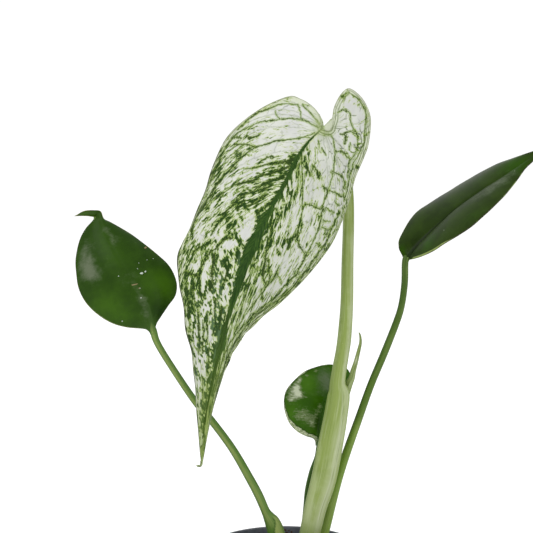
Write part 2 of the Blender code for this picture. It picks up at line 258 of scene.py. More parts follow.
def newGroup(name, takes, gives):
    group = bpy.data.node_groups.new(name, "ShaderNodeTree")
    for label, start in takes.items():
        if isinstance(start, tuple):
            kind = "NodeSocketVector" if len(start) == 3 else "NodeSocketColor"
        else:
            kind = "NodeSocketFloat"
        socket = group.interface.new_socket(label, in_out="INPUT", socket_type=kind)
        socket.default_value = start
    for label, kind in gives.items():
        group.interface.new_socket(label, in_out="OUTPUT", socket_type="NodeSocket" + kind)
    return group, group.nodes.new("NodeGroupInput").outputs, group.nodes.new("NodeGroupOutput").inputs


def useGroup(tree, group, **wires):
    made = tree.nodes.new("ShaderNodeGroup")
    made.node_tree = group
    for key, value in wires.items():
        plug(tree, made.inputs[key], value)
    return made.outputs


def newMaterial(name):
    material = bpy.data.materials.new(name)
    material.use_nodes = True
    tree = material.node_tree
    return material, tree, tree.nodes["Principled BSDF"].inputs


def dressSkin(tree, skin, colour, roughness, relief, strength, distance, specular):
    plug(tree, skin["Base Color"], colour)
    plug(tree, skin["Roughness"], roughness)
    bump = put(tree, "Bump", {"Height": relief, "Strength": strength, "Distance": distance})
    plug(tree, skin["Normal"], bump.outputs[0])
    skin["Specular IOR Level"].default_value = specular


# ---- shared effects

def makeStreaks():
    # uneven stripes that run along a vein or a stalk; 0 to 1, about 0.5 on average
    group, take, give = newGroup(
        "streaks", {"Along": 0.0, "Across": 0.0, "Length": 8.0, "Width": 1.5, "Seed": 0.0, "Grit": 0.6},
        {"Value": "Float"})
    x = calc(group, "DIVIDE", take["Across"], take["Width"])
    y = calc(group, "DIVIDE", take["Along"], take["Length"])
    spot = asVector(group, x, y, take["Seed"])
    plug(group, give["Value"], noiseAt(group, spot, 1.0, 5.0, take["Grit"], 0.3))
    return group


def makeVeinLines():
    # thin lines at every whole number of Step, Gap millimetres apart, with a soft halo
    group, take, give = newGroup(
        "veinLines", {"Step": 0.0, "Gap": 1.0, "Width": 0.3, "Halo": 1.2, "Wander": 0.0},
        {"Line": "Float", "Halo": "Float"})
    moved = plus(group, take["Step"], take["Wander"])
    middle = calc(group, "ABSOLUTE", minus(group, moved, calc(group, "ROUND", moved)))
    away = times(group, middle, take["Gap"])
    outer = times(group, take["Width"], 2.2)
    plug(group, give["Line"], ramp(group, away, take["Width"], outer, 1.0, 0.0))
    plug(group, give["Halo"], ramp(group, away, take["Width"], take["Halo"], 1.0, 0.0))
    return group


def makeFlecks():
    # small sparse specks, such as dust, lenticels or mineral spots
    group, take, give = newGroup(
        "flecks", {"Spot": (0.0, 0.0, 0.0), "Spacing": 0.006, "Size": 0.12, "Share": 0.3}, {"Mask": "Float"})
    scale = calc(group, "DIVIDE", 1.0, take["Spacing"])
    cells = put(group, "TexVoronoi", {"Vector": take["Spot"], "Scale": scale}, feature="F1")
    near = ramp(group, cells.outputs["Distance"], take["Size"], times(group, take["Size"], 0.5))
    chosen = put(group, "SeparateColor", {0: cells.outputs["Color"]}).outputs[0]
    kept = calc(group, "LESS_THAN", chosen, take["Share"])
    plug(group, give["Mask"], times(group, near, kept))
    return group


def makeNetVeins():
    # the fine net between the main veins
    group, take, give = newGroup(
        "netVeins", {"Along": 0.0, "Across": 0.0, "Seed": 0.0, "Cell": 4.0, "Width": 0.05},
        {"Line": "Float", "Halo": "Float"})
    spot = asVector(group, take["Across"], times(group, take["Along"], 0.7), take["Seed"])
    wobble = put(group, "TexNoise", {"Vector": spot, "Scale": 0.35, "Detail": 3.0}).outputs["Color"]
    shift = put(group, "VectorMath", {0: wobble, 1: (0.5, 0.5, 0.5)}, operation="SUBTRACT").outputs[0]
    moved = put(group, "VectorMath", {0: shift, 1: (3.2, 3.2, 0.0), 2: spot},
                operation="MULTIPLY_ADD").outputs[0]
    scale = calc(group, "DIVIDE", 1.0, take["Cell"])
    edge = put(group, "TexVoronoi", {"Vector": moved, "Scale": scale}, feature="DISTANCE_TO_EDGE",
               voronoi_dimensions="2D").outputs["Distance"]
    twice = times(group, take["Width"], 2.0)
    plug(group, give["Line"], ramp(group, edge, take["Width"], twice, 1.0, 0.0))
    plug(group, give["Halo"], ramp(group, edge, take["Width"], times(group, take["Width"], 5.0), 1.0, 0.0))
    return group


def makeEdgeWear():
    # 1 along edges that stick out, broken up by noise
    group, take, give = newGroup("edgeWear", {"Spot": (0.0, 0.0, 0.0), "Size": 0.0006}, {"Mask": "Float"})
    rounded = put(group, "Bevel", {"Radius": take["Size"]}, samples=6).outputs[0]
    plain = put(group, "NewGeometry").outputs["Normal"]
    turned = put(group, "VectorMath", {0: rounded, 1: plain}, operation="DOT_PRODUCT").outputs["Value"]
    edge = ramp(group, turned, 0.995, 0.93)
    broken = ramp(group, noiseAt(group, take["Spot"], 240.0, 4.0), 0.4, 0.6, 0.25, 1.0)
    plug(group, give["Mask"], times(group, edge, broken))
    return group


streaks = makeStreaks()
edgeWear = makeEdgeWear()
veinLines = makeVeinLines()
flecks = makeFlecks()
netVeins = makeNetVeins()


# ---- leaf materials

def makeVariegated():
    look = {
        "white": tint(229, 231, 224), "lilac": tint(220, 221, 219), "cream": tint(214, 222, 190),
        "fringe": tint(140, 168, 66), "fringePale": tint(202, 213, 150), "deep": tint(32, 64, 10),
        "leafGreen": tint(58, 92, 28), "grey": tint(98, 126, 88), "paintedShade": tint(194, 199, 184),
        "edge": tint(206, 214, 178), "glow": tint(212, 223, 178), "vein": tint(42, 64, 16),
        "outline": tint(54, 64, 34), "join": tint(160, 176, 116), "olive": tint(156, 176, 96),
        "oliveDeep": tint(84, 110, 42),
    }
    material, tree, skin = newMaterial("variegatedLeaf")
    toEdge, row = mark(tree, "toEdge"), mark(tree, "rowMark")
    green, net, ripe = mark(tree, "green"), mark(tree, "net"), mark(tree, "ripe")
    along, side = offMidrib(tree)

    # marbling: blotches that run along the veins, cut up by finer ones, more of them where the blade
    # is greener
    sway = timesPlus(tree, noiseAt(tree, asVector(tree, along, row, side), 0.12, 2.0), 3.0, row)

    def streakAt(across, length, width, seed, grit):
        return useGroup(tree, streaks, Along=along, Across=across, Length=length, Width=width,
                        Seed=plus(tree, side, seed), Grit=grit)[0]

    def pileUp(broad, middle, fine):
        return timesPlus(tree, fine, 0.3, timesPlus(tree, middle, 0.9, times(tree, broad, 0.52)))

    # long streaks between the veins above, rounder blotches lower down
    broad = streakAt(sway, 8.0, 2.2, 0.0, 0.58)
    middle = streakAt(sway, 4.2, 1.0, 5.0, 0.62)
    fine = streakAt(row, 1.4, 0.5, 9.0, 0.62)
    place = objectPlace(tree)

    leaning = put(tree, "VectorRotate", {"Vector": place, "Angle": 0.25}, rotation_type="Y_AXIS").outputs[0]

    def mottle(size, rough):
        return noiseAt(tree, stretched(tree, leaning, (1000 / size, 1000 / size, 480 / size)), 1.0, 4.0,
                       rough, 0.3)

    rounder = pileUp(mottle(3.2, 0.5), mottle(1.6, 0.45), mottle(0.8, 0.5))
    coarse = mark(tree, "coarse")
    marbled = plus(tree, times(tree, rounder, coarse),
                   times(tree, pileUp(broad, middle, fine), minus(tree, 1.0, coarse)))
    marbled = timesPlus(tree, green, 0.33, timesPlus(tree, coarse, -0.02, plus(tree, marbled, -1.035)))
    # dark matter gathers along the drawn veins of the marbled part
    byVein = times(tree, ramp(tree, mark(tree, "veinAway"), 2.0, 0.3), mark(tree, "gather"))
    marbled = timesPlus(tree, byVein, 0.075, marbled)
    dark = ramp(tree, marbled, -0.01, 0.016)
    halo = ramp(tree, marbled, -0.13, -0.01)

    # the green band along the midrib, ragged where the marbling meets it
    ribHalf = mark(tree, "ribHalf")
    uneven = timesPlus(tree, minus(tree, middle, 0.5), 2.0, minus(tree, broad, 0.5))
    ragged = timesPlus(tree, uneven, times(tree, calc(tree, "MINIMUM", ribHalf, 2.2), -1.2),
                       mark(tree, "ribAway"))
    ragged = minus(tree, ragged, ribHalf)
    band = ramp(tree, ragged, -0.2, 0.15, 1.0, 0.0)
    bandHalo = ramp(tree, ragged, 0.0, 1.1, 0.8, 0.0)

    # drawn veins, faint ones between them, the lines that follow the margin, and the net
    waver = minus(tree, noiseAt(tree, asVector(tree, row, along, side), 0.35, 3.0), 0.5)
    weight = mark(tree, "veinWeight")
    fray = times(tree, minus(tree, noiseAt(tree, place, 1400.0, 3.0, 0.6), 0.5), times(tree, weight, 1.1))
    jitter = minus(tree, noiseAt(tree, place, 620.0, 2.0, 0.5), 0.5)
    offLine = timesPlus(tree, waver, 1.3, timesPlus(tree, jitter, 1.0, mark(tree, "veinSide")))
    offLine = plus(tree, calc(tree, "ABSOLUTE", offLine), fray)
    reachLine = ramp(tree, timesPlus(tree, weight, -0.36, mark(tree, "veinAway")), 0.8, 0.5)
    breaks = ramp(tree, noiseAt(tree, asVector(tree, row, along, side), 0.5, 3.0), 0.32, 0.5, 0.35, 1.0)
    drawn = times(tree, ramp(tree, offLine, times(tree, weight, 0.16), times(tree, weight, 0.4), 1.0, 0.0),
                 times(tree, reachLine, ramp(tree, breaks, 0.35, 1.0, 0.65, 1.0)))
    drawnHalo = times(tree, ramp(tree, timesPlus(tree, weight, -0.2, offLine), 0.0, 0.85, 0.8, 0.0),
                     ramp(tree, timesPlus(tree, weight, -0.36, mark(tree, "veinAway")), 1.1, 0.7))
    wander = times(tree, waver, 0.35)
    main = useGroup(tree, veinLines, Step=mark(tree, "veinStep"), Gap=mark(tree, "veinGap"), Width=0.12,
                    Halo=1.0, Wander=wander)
    rimStep = calc(tree, "DIVIDE", timesPlus(tree, waver, 1.0, plus(tree, toEdge, 0.1)), 1.4)
    rim = useGroup(tree, veinLines, Step=rimStep, Gap=1.4, Width=0.17, Halo=0.55, Wander=0.0)
    pastRim = minus(tree, toEdge, mark(tree, "rimReach"))
    nearRim = times(tree, ramp(tree, pastRim, 0.5, 0.0), ramp(tree, toEdge, 0.9, 1.2))
    rimGreen = mark(tree, "rim")
    nearRim = times(tree, nearRim, rimGreen)
    mesh = useGroup(tree, netVeins, Along=along, Across=row, Seed=side, Cell=5.5, Width=0.02)
    faint = times(tree, net, ramp(tree, noiseAt(tree, asVector(tree, row, along, side), 0.2, 2.0), 0.42, 0.6))
    lines = larger(tree, drawn, times(tree, main[0], times(tree, breaks, 0.3)))
    unbroken = ramp(tree, breaks, 0.35, 1.0, 0.6, 1.0)
    lines = larger(tree, lines, times(tree, rim[0], times(tree, nearRim, unbroken)))
    lines = larger(tree, lines, times(tree, mesh[0], faint))
    lineHalo = larger(tree, drawnHalo, times(tree, main[1], 0.12))
    lineHalo = larger(tree, lineHalo, times(tree, rim[1], times(tree, nearRim, 0.7)))
    lineHalo = larger(tree, lineHalo, times(tree, mesh[1], times(tree, faint, 0.4)))

    cloud = noiseAt(tree, asVector(tree, row, along, side), 0.11, 3.0)
    ground = mix(tree, ramp(tree, cloud, 0.4, 0.6), look["white"], look["lilac"])
    # grey laid over parts of the blade by row, most of it on the right half: painted shade
    ground = mix(tree, times(tree, mark(tree, "paintedShade"), ramp(tree, cloud, 0.3, 0.6, 0.6, 1.0)), ground,
                 look["paintedShade"])
    creamy = larger(tree, ramp(tree, green, 0.3, 0.8, 0.0, 0.7), ramp(tree, fine, 0.54, 0.7, 0.0, 0.3))
    ground = mix(tree, creamy, ground, look["cream"])
    ground = mix(tree, times(tree, ramp(tree, toEdge, 5.5, 1.2, 0.0, 0.85), rimGreen), ground, look["glow"])
    fringe = mix(tree, ramp(tree, marbled, -0.08, -0.01), look["fringePale"], look["fringe"])
    ground = mix(tree, times(tree, larger(tree, halo, bandHalo), 0.9), ground, fringe)
    ground = mix(tree, lineHalo, ground, look["fringe"])
    leafGreen = mix(tree, ramp(tree, marbled, 0.0, 0.06), look["leafGreen"], look["deep"])
    leafGreen = mix(tree, times(tree, ramp(tree, cloud, 0.46, 0.62), mark(tree, "grey")), leafGreen,
                    look["grey"])
    sparks = times(tree, ramp(tree, noiseAt(tree, place, 1500.0, 2.0), 0.54, 0.66),
                   ramp(tree, marbled, 0.2, 0.02))
    leafGreen = mix(tree, times(tree, sparks, 0.55), leafGreen, look["fringe"])
    ground = mix(tree, dark, ground, leafGreen)
    ground = mix(tree, times(tree, lines, 0.92), ground, look["vein"])

    # towards the tip it turns olive, streaked lengthwise
    oliveTone = mix(tree, ramp(tree, plus(tree, marbled, times(tree, main[0], 0.1)), -0.06, 0.08),
                          look["olive"], look["oliveDeep"])
    ground = mix(tree, ripe, ground, oliveTone)
    strands = streakAt(row, 6.0, 0.7, 12.0, 0.6)
    bandGreen = mix(tree, ramp(tree, strands, 0.42, 0.66), look["deep"], look["leafGreen"])
    bandFlecks = times(tree, ramp(tree, fine, 0.58, 0.7), ramp(tree, ragged, -2.6, -0.4, 0.0, 0.7))
    bandGreen = mix(tree, bandFlecks, bandGreen, look["fringe"])
    ground = mix(tree, band, ground, mix(tree, ripe, bandGreen, look["oliveDeep"]))
    rimColour = mix(tree, ramp(tree, toEdge, 0.2, 0.0), look["edge"], look["vein"])
    ground = mix(tree, times(tree, ramp(tree, toEdge, 0.75, 0.4), timesPlus(tree, rimGreen, 0.5, 0.3)),
                       ground, rimColour)
    outlined = times(tree, ramp(tree, toEdge, 0.95, 0.55), times(tree, mark(tree, "outline"), breaks))
    ground = mix(tree, outlined, ground, look["outline"])
    ground = mix(tree, times(tree, mark(tree, "foot"), 0.75), ground, look["join"])

    grain = noiseAt(tree, place, 900.0, 2.0)
    roughness = ramp(tree, plus(tree, dark, grain), 0.3, 1.5, 0.56, 0.42)
    relief = timesPlus(tree, grain, 0.3, times(tree, lines, -0.5))
    dressSkin(tree, skin, ground, roughness, relief, 0.25, 0.0002, 0.16)
    return material


def makeUnderside(name, pale, line):
    # the back of a blade: duller and paler, with raised lighter veins
    material, tree, skin = newMaterial(name)
    row = mark(tree, "rowMark")
    along, side = offMidrib(tree)
    broad = useGroup(tree, streaks, Along=along, Across=row, Length=9.0, Width=3.0, Seed=side, Grit=0.6)[0]
    main = useGroup(tree, veinLines, Step=mark(tree, "veinStep"), Gap=mark(tree, "veinGap"), Width=0.2,
                    Halo=1.2)
    mesh = useGroup(tree, netVeins, Along=along, Across=row, Seed=side, Cell=5.0, Width=0.03)
    patches = ramp(tree, plus(tree, broad, timesPlus(tree, mark(tree, "green"), 0.3, -0.15)), 0.5, 0.6)
    ground = mix(tree, patches, pale[0], pale[1])
    ground = mix(tree, times(tree, main[0], 0.7), ground, line)
    ground = mix(tree, times(tree, mesh[0], 0.35), ground, line)
    ground = mix(tree, ramp(tree, mark(tree, "ribAway"), 1.6, 0.8), ground, line)
    roughness = ramp(tree, broad, 0.2, 0.8, 0.5, 0.66)
    relief = plus(tree, main[0], times(tree, mesh[0], 0.6))
    dressSkin(tree, skin, ground, roughness, relief, 0.3, 0.0003, 0.16)
    return material


def makeGreenLeaf(name, look):
    # a smooth glossy blade: soft changes of tone, smudges of dust and painted sheen, faint side veins and,
    # where look says, pale patches
    material, tree, skin = newMaterial(name)
    row, toEdge = mark(tree, "rowMark"), mark(tree, "toEdge")
    along, side = offMidrib(tree)
    place = objectPlace(tree)
    cloud, mist = noiseAt(tree, place, 60.0, 3.0), noiseAt(tree, place, 210.0, 4.0, 0.6)
    broad = useGroup(tree, streaks, Along=along, Across=row, Length=16.0, Width=3.2, Seed=side, Grit=0.5)[0]
    fine = useGroup(tree, streaks, Along=along, Across=row, Length=3.4, Width=0.8, Seed=plus(tree, side, 3.0),
                    Grit=0.65)[0]
    main = useGroup(tree, veinLines, Step=mark(tree, "veinStep"), Gap=mark(tree, "veinGap"), Width=0.12,
                    Halo=1.6, Wander=times(tree, broad, 0.3))
    level = timesPlus(tree, mist, 0.35, timesPlus(tree, broad, 0.12, cloud))
    ground = mix(tree, ramp(tree, level, 0.6, 0.88), look["deep"], look["light"])
    shift = timesPlus(tree, minus(tree, mist, 0.5), 0.5, mark(tree, "tone"))
    ground = mix(tree, ramp(tree, shift, 0.0, 0.8), ground, look["bright"])
    ground = mix(tree, ramp(tree, shift, 0.0, -0.8), ground, look["dark"])
    ground = mix(tree, times(tree, main[0], 0.08), ground, look["vein"])
    offRib = minus(tree, mark(tree, "ribAway"), mark(tree, "ribHalf"))
    ribShow = times(tree, ramp(tree, offRib, 0.0, 0.6, 0.8, 0.0), mark(tree, "ribShow"))
    ground = mix(tree, ribShow, ground, look["rib"])
    # pale grey-green smudges, partly a dust film and partly painted sheen; they also make the blade rougher
    # there
    dusty = timesPlus(tree, minus(tree, fine, 0.5), 0.5,
                 timesPlus(tree, minus(tree, mist, 0.5), 1.1, mark(tree, "dustAndSheen")))
    ground = mix(tree, ramp(tree, dusty, 0.12, 0.95, 0.0, 0.85), ground, look["dustAndSheen"])
    worn = noiseAt(tree, place, 170.0, 2.0)
    if "white" in look:
        # patches that follow the veins, with a marbled grey-green shore
        speckle = minus(tree, noiseAt(tree, place, 900.0, 4.0, 0.7), 0.5)
        shore = timesPlus(tree, minus(tree, fine, 0.5), 1.1, mark(tree, "pale"))
        shore = timesPlus(tree, speckle, 0.7, shore)
        ground = mix(tree, ramp(tree, shore, 0.2, 0.55, 0.0, 0.8), ground, look["shore"])
        ground = mix(tree, ramp(tree, shore, 0.5, 0.95), ground, look["white"])
        lip = minus(tree, timesPlus(tree, minus(tree, mist, 0.5), 3.0, toEdge),
                   times(tree, mark(tree, "rimPale"), 2.4))
        rimmed = ramp(tree, mark(tree, "rimPale"), 0.02, 0.2)
        rimTone = mix(tree, ramp(tree, plus(tree, speckle, fine), 0.4, 0.62), look["lip"], look["shore"])
        ground = mix(tree, times(tree, ramp(tree, lip, 0.15, -0.15), rimmed), ground, rimTone)
        inner = calc(tree, "ABSOLUTE", minus(tree, lip, 0.25))
        ground = mix(tree, times(tree, ramp(tree, inner, 0.35, 0.1, 0.0, 0.8), rimmed), ground, look["dark"])
    else:
        pale = mark(tree, "rimPale")
        lip = timesPlus(tree, pale, -1.1, toEdge)
        lipShow = times(tree, ramp(tree, lip, 0.2, -0.2, 0.0, 0.85), ramp(tree, pale, 0.05, 0.3))
        ground = mix(tree, lipShow, ground, look["lip"])
    dust = useGroup(tree, flecks, Spot=place, Spacing=0.0075, Size=0.05, Share=0.3)[0]
    ground = mix(tree, times(tree, dust, 0.6), ground, tint(190, 204, 178))
    edgeTone = mix(tree, ramp(tree, worn, 0.5, 0.62), look["edge"], look["edgePale"])
    ground = mix(tree, ramp(tree, toEdge, 0.5, 0.2, 0.0, 0.8), ground, edgeTone)
    ground = mix(tree, mark(tree, "foot"), ground, look["stalk"])
    grain = noiseAt(tree, place, 1100.0, 2.0)
    roughness = ramp(tree, plus(tree, grain, dusty), 0.4, 1.4, 0.30, 0.5)
    relief = timesPlus(tree, grain, 0.2, times(tree, main[0], -0.15))
    dressSkin(tree, skin, ground, roughness, relief, 0.16, 0.0002, 0.1)
    return material


def makeStalkSkin(name, look):
    # fine pale striations along the stalk, a tone that changes towards the top, listed strips of painted
    # shade and painted highlight, and a few corky specks
    material, tree, skin = newMaterial(name)
    along, round_ = mark(tree, "along"), mark(tree, "round")
    place = objectPlace(tree)
    hair = useGroup(tree, streaks, Along=along, Across=round_, Length=22.0, Width=0.32, Seed=5.0, Grit=0.6)[0]
    thin = useGroup(tree, streaks, Along=along, Across=round_, Length=34.0, Width=0.8, Seed=2.0, Grit=0.5)[0]
    wide = useGroup(tree, streaks, Along=along, Across=round_, Length=60.0, Width=3.4, Seed=9.0, Grit=0.4)[0]
    cloud = noiseAt(tree, place, 120.0, 4.0, 0.6)
    ground = mix(tree, ramp(tree, mark(tree, "height"), 0.0, 1.0, how="LINEAR"), look["low"], look["high"])
    paler = ramp(tree, timesPlus(tree, cloud, 0.5, wide), 0.68, 0.95, 0.0, look["wide"])
    ground = mix(tree, paler, ground, look["pale"])
    ground = mix(tree, ramp(tree, thin, 0.5, 0.72, 0.0, look["thin"]), ground, look["pale"])
    ground = mix(tree, ramp(tree, hair, 0.48, 0.34, 0.0, look["thin"]), ground, look["deep"])
    streaky = ramp(tree, timesPlus(tree, hair, 0.6, thin), 0.6, 1.0, 0.55, 1.0)
    # the seams' pale margins, and strips painted lighter as highlight and pale streaks
    ground = mix(tree, times(tree, mark(tree, "paleAndHighlightMark"), streaky), ground, look["bleachAndHighlight"])
    # painted shade at the foot of the seams and in the darker strips
    ground = mix(tree, mark(tree, "paintedShadeMark"), ground, look["deep"])
    cork = useGroup(tree, flecks, Spot=place, Spacing=0.005, Size=0.06, Share=0.25)[0]
    ground = mix(tree, times(tree, cork, 0.5), ground, tint(196, 204, 150))
    grain = noiseAt(tree, place, 1200.0, 2.0)
    roughness = ramp(tree, grain, 0.3, 0.7, 0.38, 0.5)
    relief = timesPlus(tree, hair, 0.7, timesPlus(tree, thin, 0.5, times(tree, grain, 0.2)))
    dressSkin(tree, skin, ground, roughness, relief, 0.22, 0.0003, 0.2)
    return material


variegated = makeVariegated()
variegatedBack = makeUnderside("variegatedLeafBack", (tint(205, 212, 186), tint(134, 158, 104)),
                               tint(176, 192, 138))
greenLeaf = makeGreenLeaf("greenLeaf", {
    "deep": tint(40, 69, 10), "light": tint(46, 77, 12), "bright": tint(60, 97, 14), "dark": tint(26, 52, 6),
    "vein": tint(60, 92, 26), "rib": tint(74, 98, 54), "edge": tint(58, 60, 32),
    "edgePale": tint(116, 118, 54), "dustAndSheen": tint(112, 122, 98), "lip": tint(150, 170, 90),
    "stalk": tint(66, 96, 36)})
greenLeafBack = makeUnderside("greenLeafBack", (tint(102, 134, 66), tint(86, 120, 54)), tint(136, 164, 90))
rightLeafSkin = makeGreenLeaf("rightLeaf", {
    "deep": tint(38, 58, 8), "light": tint(46, 68, 12), "bright": tint(46, 86, 0), "dark": tint(26, 42, 6),
    "vein": tint(60, 84, 30), "rib": tint(20, 36, 6), "edge": tint(58, 54, 36),
    "edgePale": tint(112, 134, 58), "dustAndSheen": tint(96, 108, 84), "lip": tint(164, 182, 108),
    "stalk": tint(84, 110, 50)})
patchedLeaf = makeGreenLeaf("patchedLeaf", {
    "deep": tint(50, 92, 4), "light": tint(58, 100, 10), "bright": tint(72, 118, 20), "dark": tint(32, 60, 4),
    "vein": tint(86, 112, 56), "rib": tint(50, 80, 24), "edge": tint(64, 78, 40),
    "edgePale": tint(176, 188, 146), "white": tint(206, 214, 186), "shore": tint(124, 140, 96),
    "dustAndSheen": tint(106, 120, 94), "lip": tint(206, 214, 178), "stalk": tint(50, 82, 22)})
paleStalk = makeStalkSkin("paleStalk", {
    "low": tint(150, 168, 92), "high": tint(140, 160, 80), "pale": tint(194, 206, 156),
    "deep": tint(106, 128, 54), "bleachAndHighlight": tint(202, 210, 176), "wide": 0.5, "thin": 0.45})
spearSkin = makeStalkSkin("spearSkin", {
    "low": tint(140, 158, 88), "high": tint(134, 150, 88), "pale": tint(180, 194, 140),
    "deep": tint(84, 110, 42), "bleachAndHighlight": tint(206, 212, 180), "wide": 0.4, "thin": 0.3})
greenStalk = makeStalkSkin("greenStalk", {
    "low": tint(80, 116, 38), "high": tint(90, 126, 52), "pale": tint(134, 158, 90), "deep": tint(46, 76, 18),
    "bleachAndHighlight": tint(156, 170, 96), "wide": 0.3, "thin": 0.3})
brightStalk = makeStalkSkin("brightStalk", {
    "low": tint(124, 158, 54), "high": tint(66, 92, 32), "pale": tint(144, 168, 88), "deep": tint(52, 82, 20),
    "bleachAndHighlight": tint(150, 170, 96), "wide": 0.3, "thin": 0.3})
print("leaf and stalk materials made")


# ---- grids that blades and stalks are shaped from

def read(pairs, where):
    return np.interp(where, *zip(*pairs))


def newGrid(name, columns, rows):
    # a flat grid, its points in order row by row, its columns from -1 to 1 and its rows from 0 to 1
    deselect()
    bpy.ops.mesh.primitive_grid_add(x_subdivisions=columns, y_subdivisions=rows, size=2.0)
    piece = context.object
    piece.name = name
    flat = places(piece)
    order = np.lexsort((np.round(flat[:, 0], 5), np.round(flat[:, 1], 5)))
    across = flat[order, 0].reshape(rows + 1, columns + 1)[0]
    row = (flat[order, 1].reshape(rows + 1, columns + 1)[:, 0] + 1) / 2
    return piece, order, across, row


def backInOrder(order, values):
    # from row by row to the order in which the grid's mesh holds its points
    laid = np.empty((len(order), *values.shape[1:]))
    laid[order] = values
    return laid


# ---- blades

def growBlade(name, node, blade, top, back):
    corner = np.array(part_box(node)[0]) / mm
    columns, rows = 2 * blade["across"], blade["along"]
    piece, order, across, row = newGrid(name, columns, rows)
    middle = blade["across"]
    t = np.abs(across)[None, :, None]

    # where each cross row leaves the midrib and meets the left and the right margin
    table = np.array(blade["rows"])
    ribShare, leftShare, rightShare = (np.interp(row, table[:, 0], table[:, k]) for k in (1, 2, 3))
    start = alongCurve(blade["midrib"], ribShare)
    face = unit(np.array(blade["face"], float))
    shape = np.empty((rows + 1, columns + 1, 3))
    reach = np.empty((rows + 1, columns + 1))
    for side, share, turn, span in (("left", leftShare, -1, slice(0, middle + 1)),
                                    ("right", rightShare, 1, slice(middle, columns + 1))):
        end = alongCurve(blade[side], share)
        chord = end - start
        bulge = read(blade[side + "Bulge"], share)
        bend = (start + end) / 2 + np.cross(face, chord) * (turn * bulge)[:, None]
        step = t[:, span]
        part = (start[:, None] * (1 - step) ** 2 + bend[:, None] * 2 * step * (1 - step)
                + end[:, None] * step ** 2)
        length = np.linalg.norm(chord, axis=1)[:, None]
        part += face * (blade["camber"] * length * 4 * step[..., 0] * (1 - step[..., 0]))[..., None]
        shape[:, span] = part
        reach[:, span] = length
    t = t[..., 0]

    # how far apart the rows are, in millimetres, so that veins keep their width
    alongRow, downRows = np.gradient(shape, axis=1), np.gradient(shape, axis=0)
    direction = unit(alongRow)
    spacing = np.linalg.norm(downRows - direction * (downRows * direction).sum(-1, keepdims=True), axis=-1)
    rowMark = np.empty_like(spacing)
    veinStep, veinGap = np.empty_like(spacing), np.empty_like(spacing)
    for span, column, veins in ((slice(0, middle), middle // 2, blade["leftVeins"]),
                                (slice(middle, columns + 1), middle + middle // 2, blade["rightVeins"])):
        rowMark[:, span] = np.cumsum(spacing[:, column])[:, None]
        steps = np.interp(row, [-0.05] + veins + [1.05], np.arange(len(veins) + 2))
        veinStep[:, span] = steps[:, None]
        veinGap[:, span] = spacing[:, span] / np.maximum(np.gradient(steps), 1e-5)[:, None]
    outward = unit(np.cross(alongRow, downRows))
    outward *= np.sign((outward * face).sum(-1, keepdims=True) + 1e-6)
    outward = unit(outward + face * 0.15)

    # midrib channel, quilted veins, and a margin that waves a little
    fromRib = t * reach
    many = np.linspace(0, 1, 1500)
    margins = [(alongCurve(blade["left"], many), (1, 1)), (alongCurve(blade["right"], many), (1, 1))]
    toEdge = besideLines(shape, margins, face)[1]
    _, ribAway, ribSpot = besideLines(shape, [(alongCurve(blade["midrib"], many), (0, 1))], face)
    ribHalf = read(blade["ribHalf"], ribSpot)
    if "ribHalfLeft" in blade:   # the green band is wider on one side of the midrib
        ribHalf = np.where(across[None] < 0, read(blade["ribHalfLeft"], ribSpot), ribHalf)
    usual = [(0, 0.5), (0.15, 1), (0.8, 0.6), (1, 0.2)]
    channel = read(blade.get("channelShare", usual), ribShare)[:, None]
    push = -blade["channel"] * channel * np.exp(-(ribAway / 0.9) ** 2)
    inner = smoothStep(0.5, 4, fromRib) * smoothStep(0, 5, toEdge)
    whole = veinStep - np.round(veinStep)
    push += blade["quilt"] * inner * (1 - np.exp(-(whole * veinGap / 1.3) ** 2) - 0.5)
    wave = np.sin(rowMark * 0.55 + 2.0 * np.sign(across)[None]) + 0.6 * np.sin(rowMark * 0.23 + 1.0)
    pastFoot = smoothStep(0, 0.3, ribShare[:, None] + 0.12)
    beforeTip = smoothStep(0.85, 0.6, row)[:, None]
    push += blade["wave"] * wave * smoothStep(9, 0, toEdge) * pastFoot * beforeTip
    for where, row0, row1, depth, amount in blade.get("curls", []):
        sideOf = (np.sign(across)[None] == where) * np.ones_like(toEdge)
        window = smoothStep(row0, row0 + 0.05, row) * smoothStep(row1, row1 - 0.05, row)
        push += sideOf * window[:, None] * amount * smoothStep(depth, 0, toEdge) ** 2
    shape += outward * push[..., None]

    setPlaces(piece, backInOrder(order, (shape.reshape(-1, 3) + corner) * mm))

    def keep(label, values):
        setMark(piece, label, backInOrder(order, np.broadcast_to(values, fromRib.shape).ravel()))

    keep("fromRib", fromRib * np.where(across < 0, -1, 1)[None])
    keep("toEdge", toEdge)
    keep("rowMark", rowMark)
    keep("veinStep", veinStep)
    keep("veinGap", veinGap)
    keep("ribHalf", ribHalf)
    keep("ribAway", ribAway)
    keep("ribShow", read(blade.get("ribShow", [(0, 1), (1, 1)]), ribSpot))
    keep("foot", 0.9 * smoothStep(blade.get("footReach", 4.0), 0, np.linalg.norm(shape - start[0], axis=-1)))
    surface = shape.reshape(-1, 3)
    flatTree = kdtree.KDTree(len(surface))
    for index, (x, _, z) in enumerate(surface):
        flatTree.insert((x, 0.0, z), index)
    flatTree.balance()

    def onBlade(line):
        # places given in millimetres across and up, laid on the blade
        line = np.array(line, float)
        depths = [surface[flatTree.find((x, 0.0, z))[1], 1] for x, z in line]
        return np.column_stack([line[:, 0], depths, line[:, 1]])

